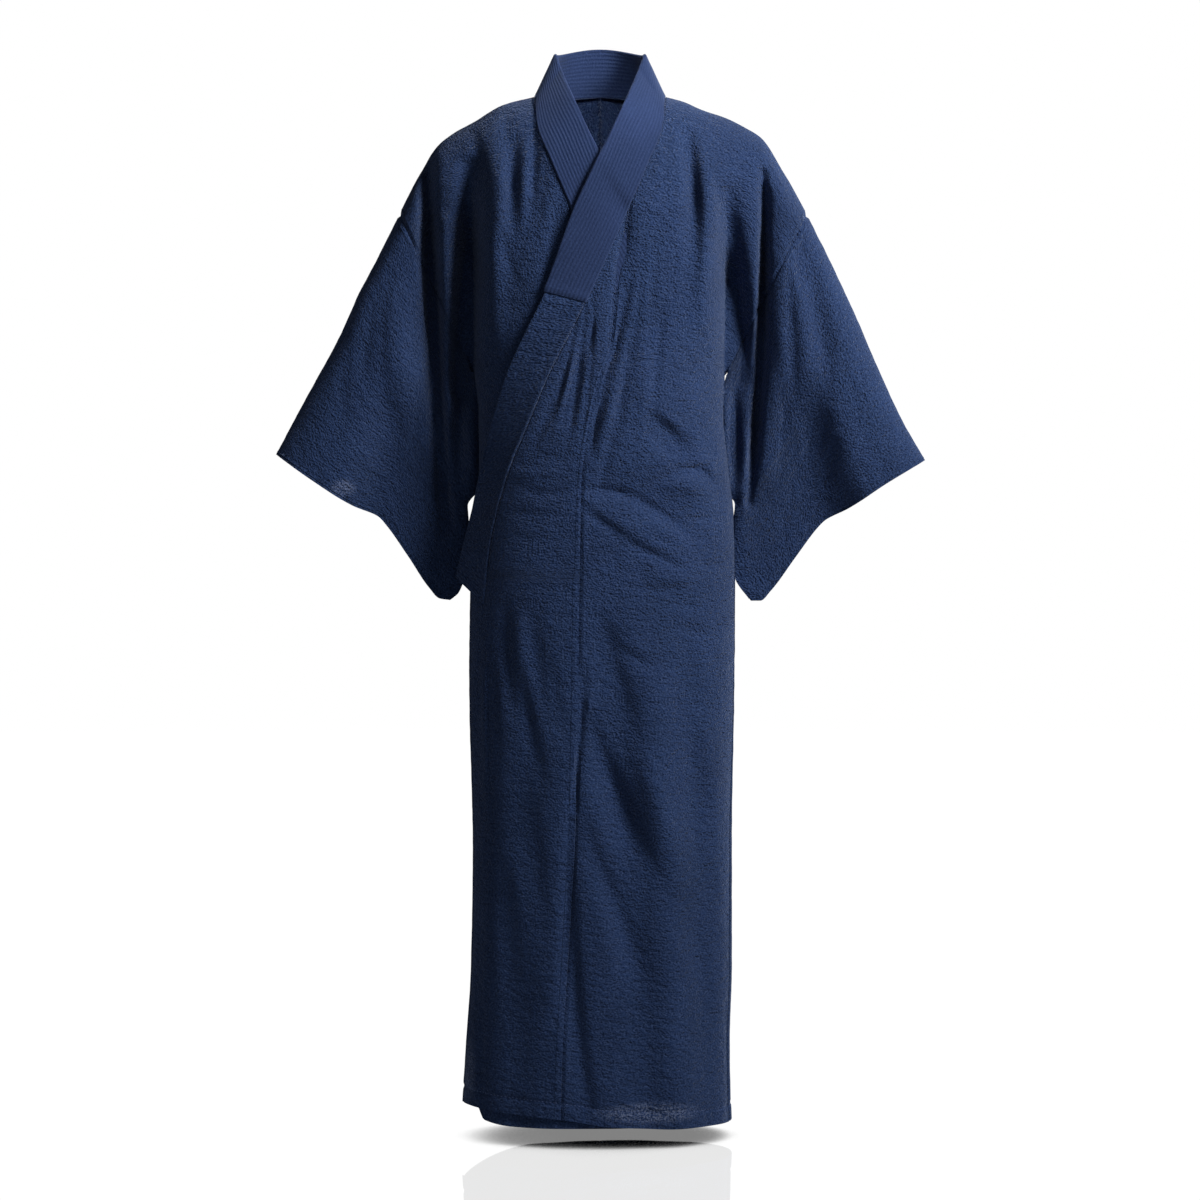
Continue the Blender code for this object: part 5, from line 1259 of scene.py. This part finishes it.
def build_stage():
    """A glowing white floor with a painted contact shadow under the robe and a faint gloss, and a white world
    that lights more weakly than it looks.
    """
    turn = np.linspace(0, 2 * np.pi, FLOOR_CORNERS, endpoint=False)
    level = np.full_like(turn, FLOOR_Z)
    rim = np.stack((FLOOR_RADIUS * np.cos(turn), FLOOR_RADIUS * np.sin(turn), level), axis=-1)
    mesh = bpy.data.meshes.new("floor")
    mesh.from_pydata(rim.tolist(), [], [list(range(FLOOR_CORNERS))])
    material, tree = new_material("floor_white")
    tree.nodes.clear()
    # the floor glows white where the sky above it is open, and its glow falls to black under the robe: a
    # painted contact shadow
    open_sky = add(tree, "AmbientOcclusion", {"Distance": 1.5}, samples=12).outputs["AO"]
    seen = add(tree, "LightPath").outputs["Is Camera Ray"]
    shade = ranged(tree, open_sky, 0.18, 0.60, 0.0, 1.03)
    glow = maths(tree, "MULTIPLY", shade, ranged(tree, seen, 0.0, 1.0, FLOOR_LIGHT, 1.0))
    white = add(tree, "Emission", {"Color": WHITE, "Strength": glow})
    gloss = add(tree, "BsdfAnisotropic", {"Color": WHITE, "Roughness": 0.03})
    both = add(tree, "MixShader", {0: FLOOR_GLOSS, 1: white.outputs[0], 2: gloss.outputs[0]})
    add(tree, "OutputMaterial", {0: both.outputs[0]})
    mesh.materials.append(material)
    new_object("floor", mesh)
    world = bpy.data.worlds.new("studio")
    bpy.context.scene.world = world
    world.use_nodes = True
    tree = world.node_tree
    tree.nodes.clear()
    path = add(tree, "LightPath").outputs
    seen = maths(tree, "MAXIMUM", path["Is Camera Ray"], path["Is Glossy Ray"])
    strength = ranged(tree, seen, 0.0, 1.0, WORLD_LIGHT, 1.0)
    back = add(tree, "Background", {"Color": WHITE, "Strength": strength})
    add(tree, "OutputWorld", {0: back.outputs[0]})
    for lamp in LAMPS:
        area_light(*lamp)


def build_camera():
    """A long lens straight in front of the robe."""
    camera = new_object("camera", bpy.data.cameras.new("camera"))
    camera.data.lens = CAMERA_LENS
    camera.data.sensor_width = CAMERA_SENSOR
    camera.location = CAMERA_PLACE
    camera.rotation_euler = (np.pi / 2, 0.0, 0.0)
    bpy.context.scene.camera = camera


def main():
    """Builds the robe's pieces with their materials, the stage and the camera."""
    cloth = crepe_cotton("crepe_cotton_indigo", "#17233F", "#243558", "#3B4C70")
    cover_cloth = crepe_cotton("fine_ribbed_cotton_indigo", "#222E4D", "#2A3757", "#334164", True)
    yarn = thread("sewing_thread", "#445580")
    for side, word, seed in ((LEFT, "left", 11), (RIGHT, "right", 31)):
        body, hems = build_body(side, word, cloth, seed)
        strip, edges = build_strip(side, word, cloth, seed + 5)
        sleeve, cuffs = build_sleeve(side, word, cloth, seed + 10)
        build_stitches("stitches_" + word, hems + edges + cuffs, yarn)
    band = build_collar("band", cloth, 71)
    cover = build_cover("band_cover", cover_cloth, 81)
    build_stage()
    build_camera()
    bpy.context.scene.view_settings.view_transform = "Standard"


main()
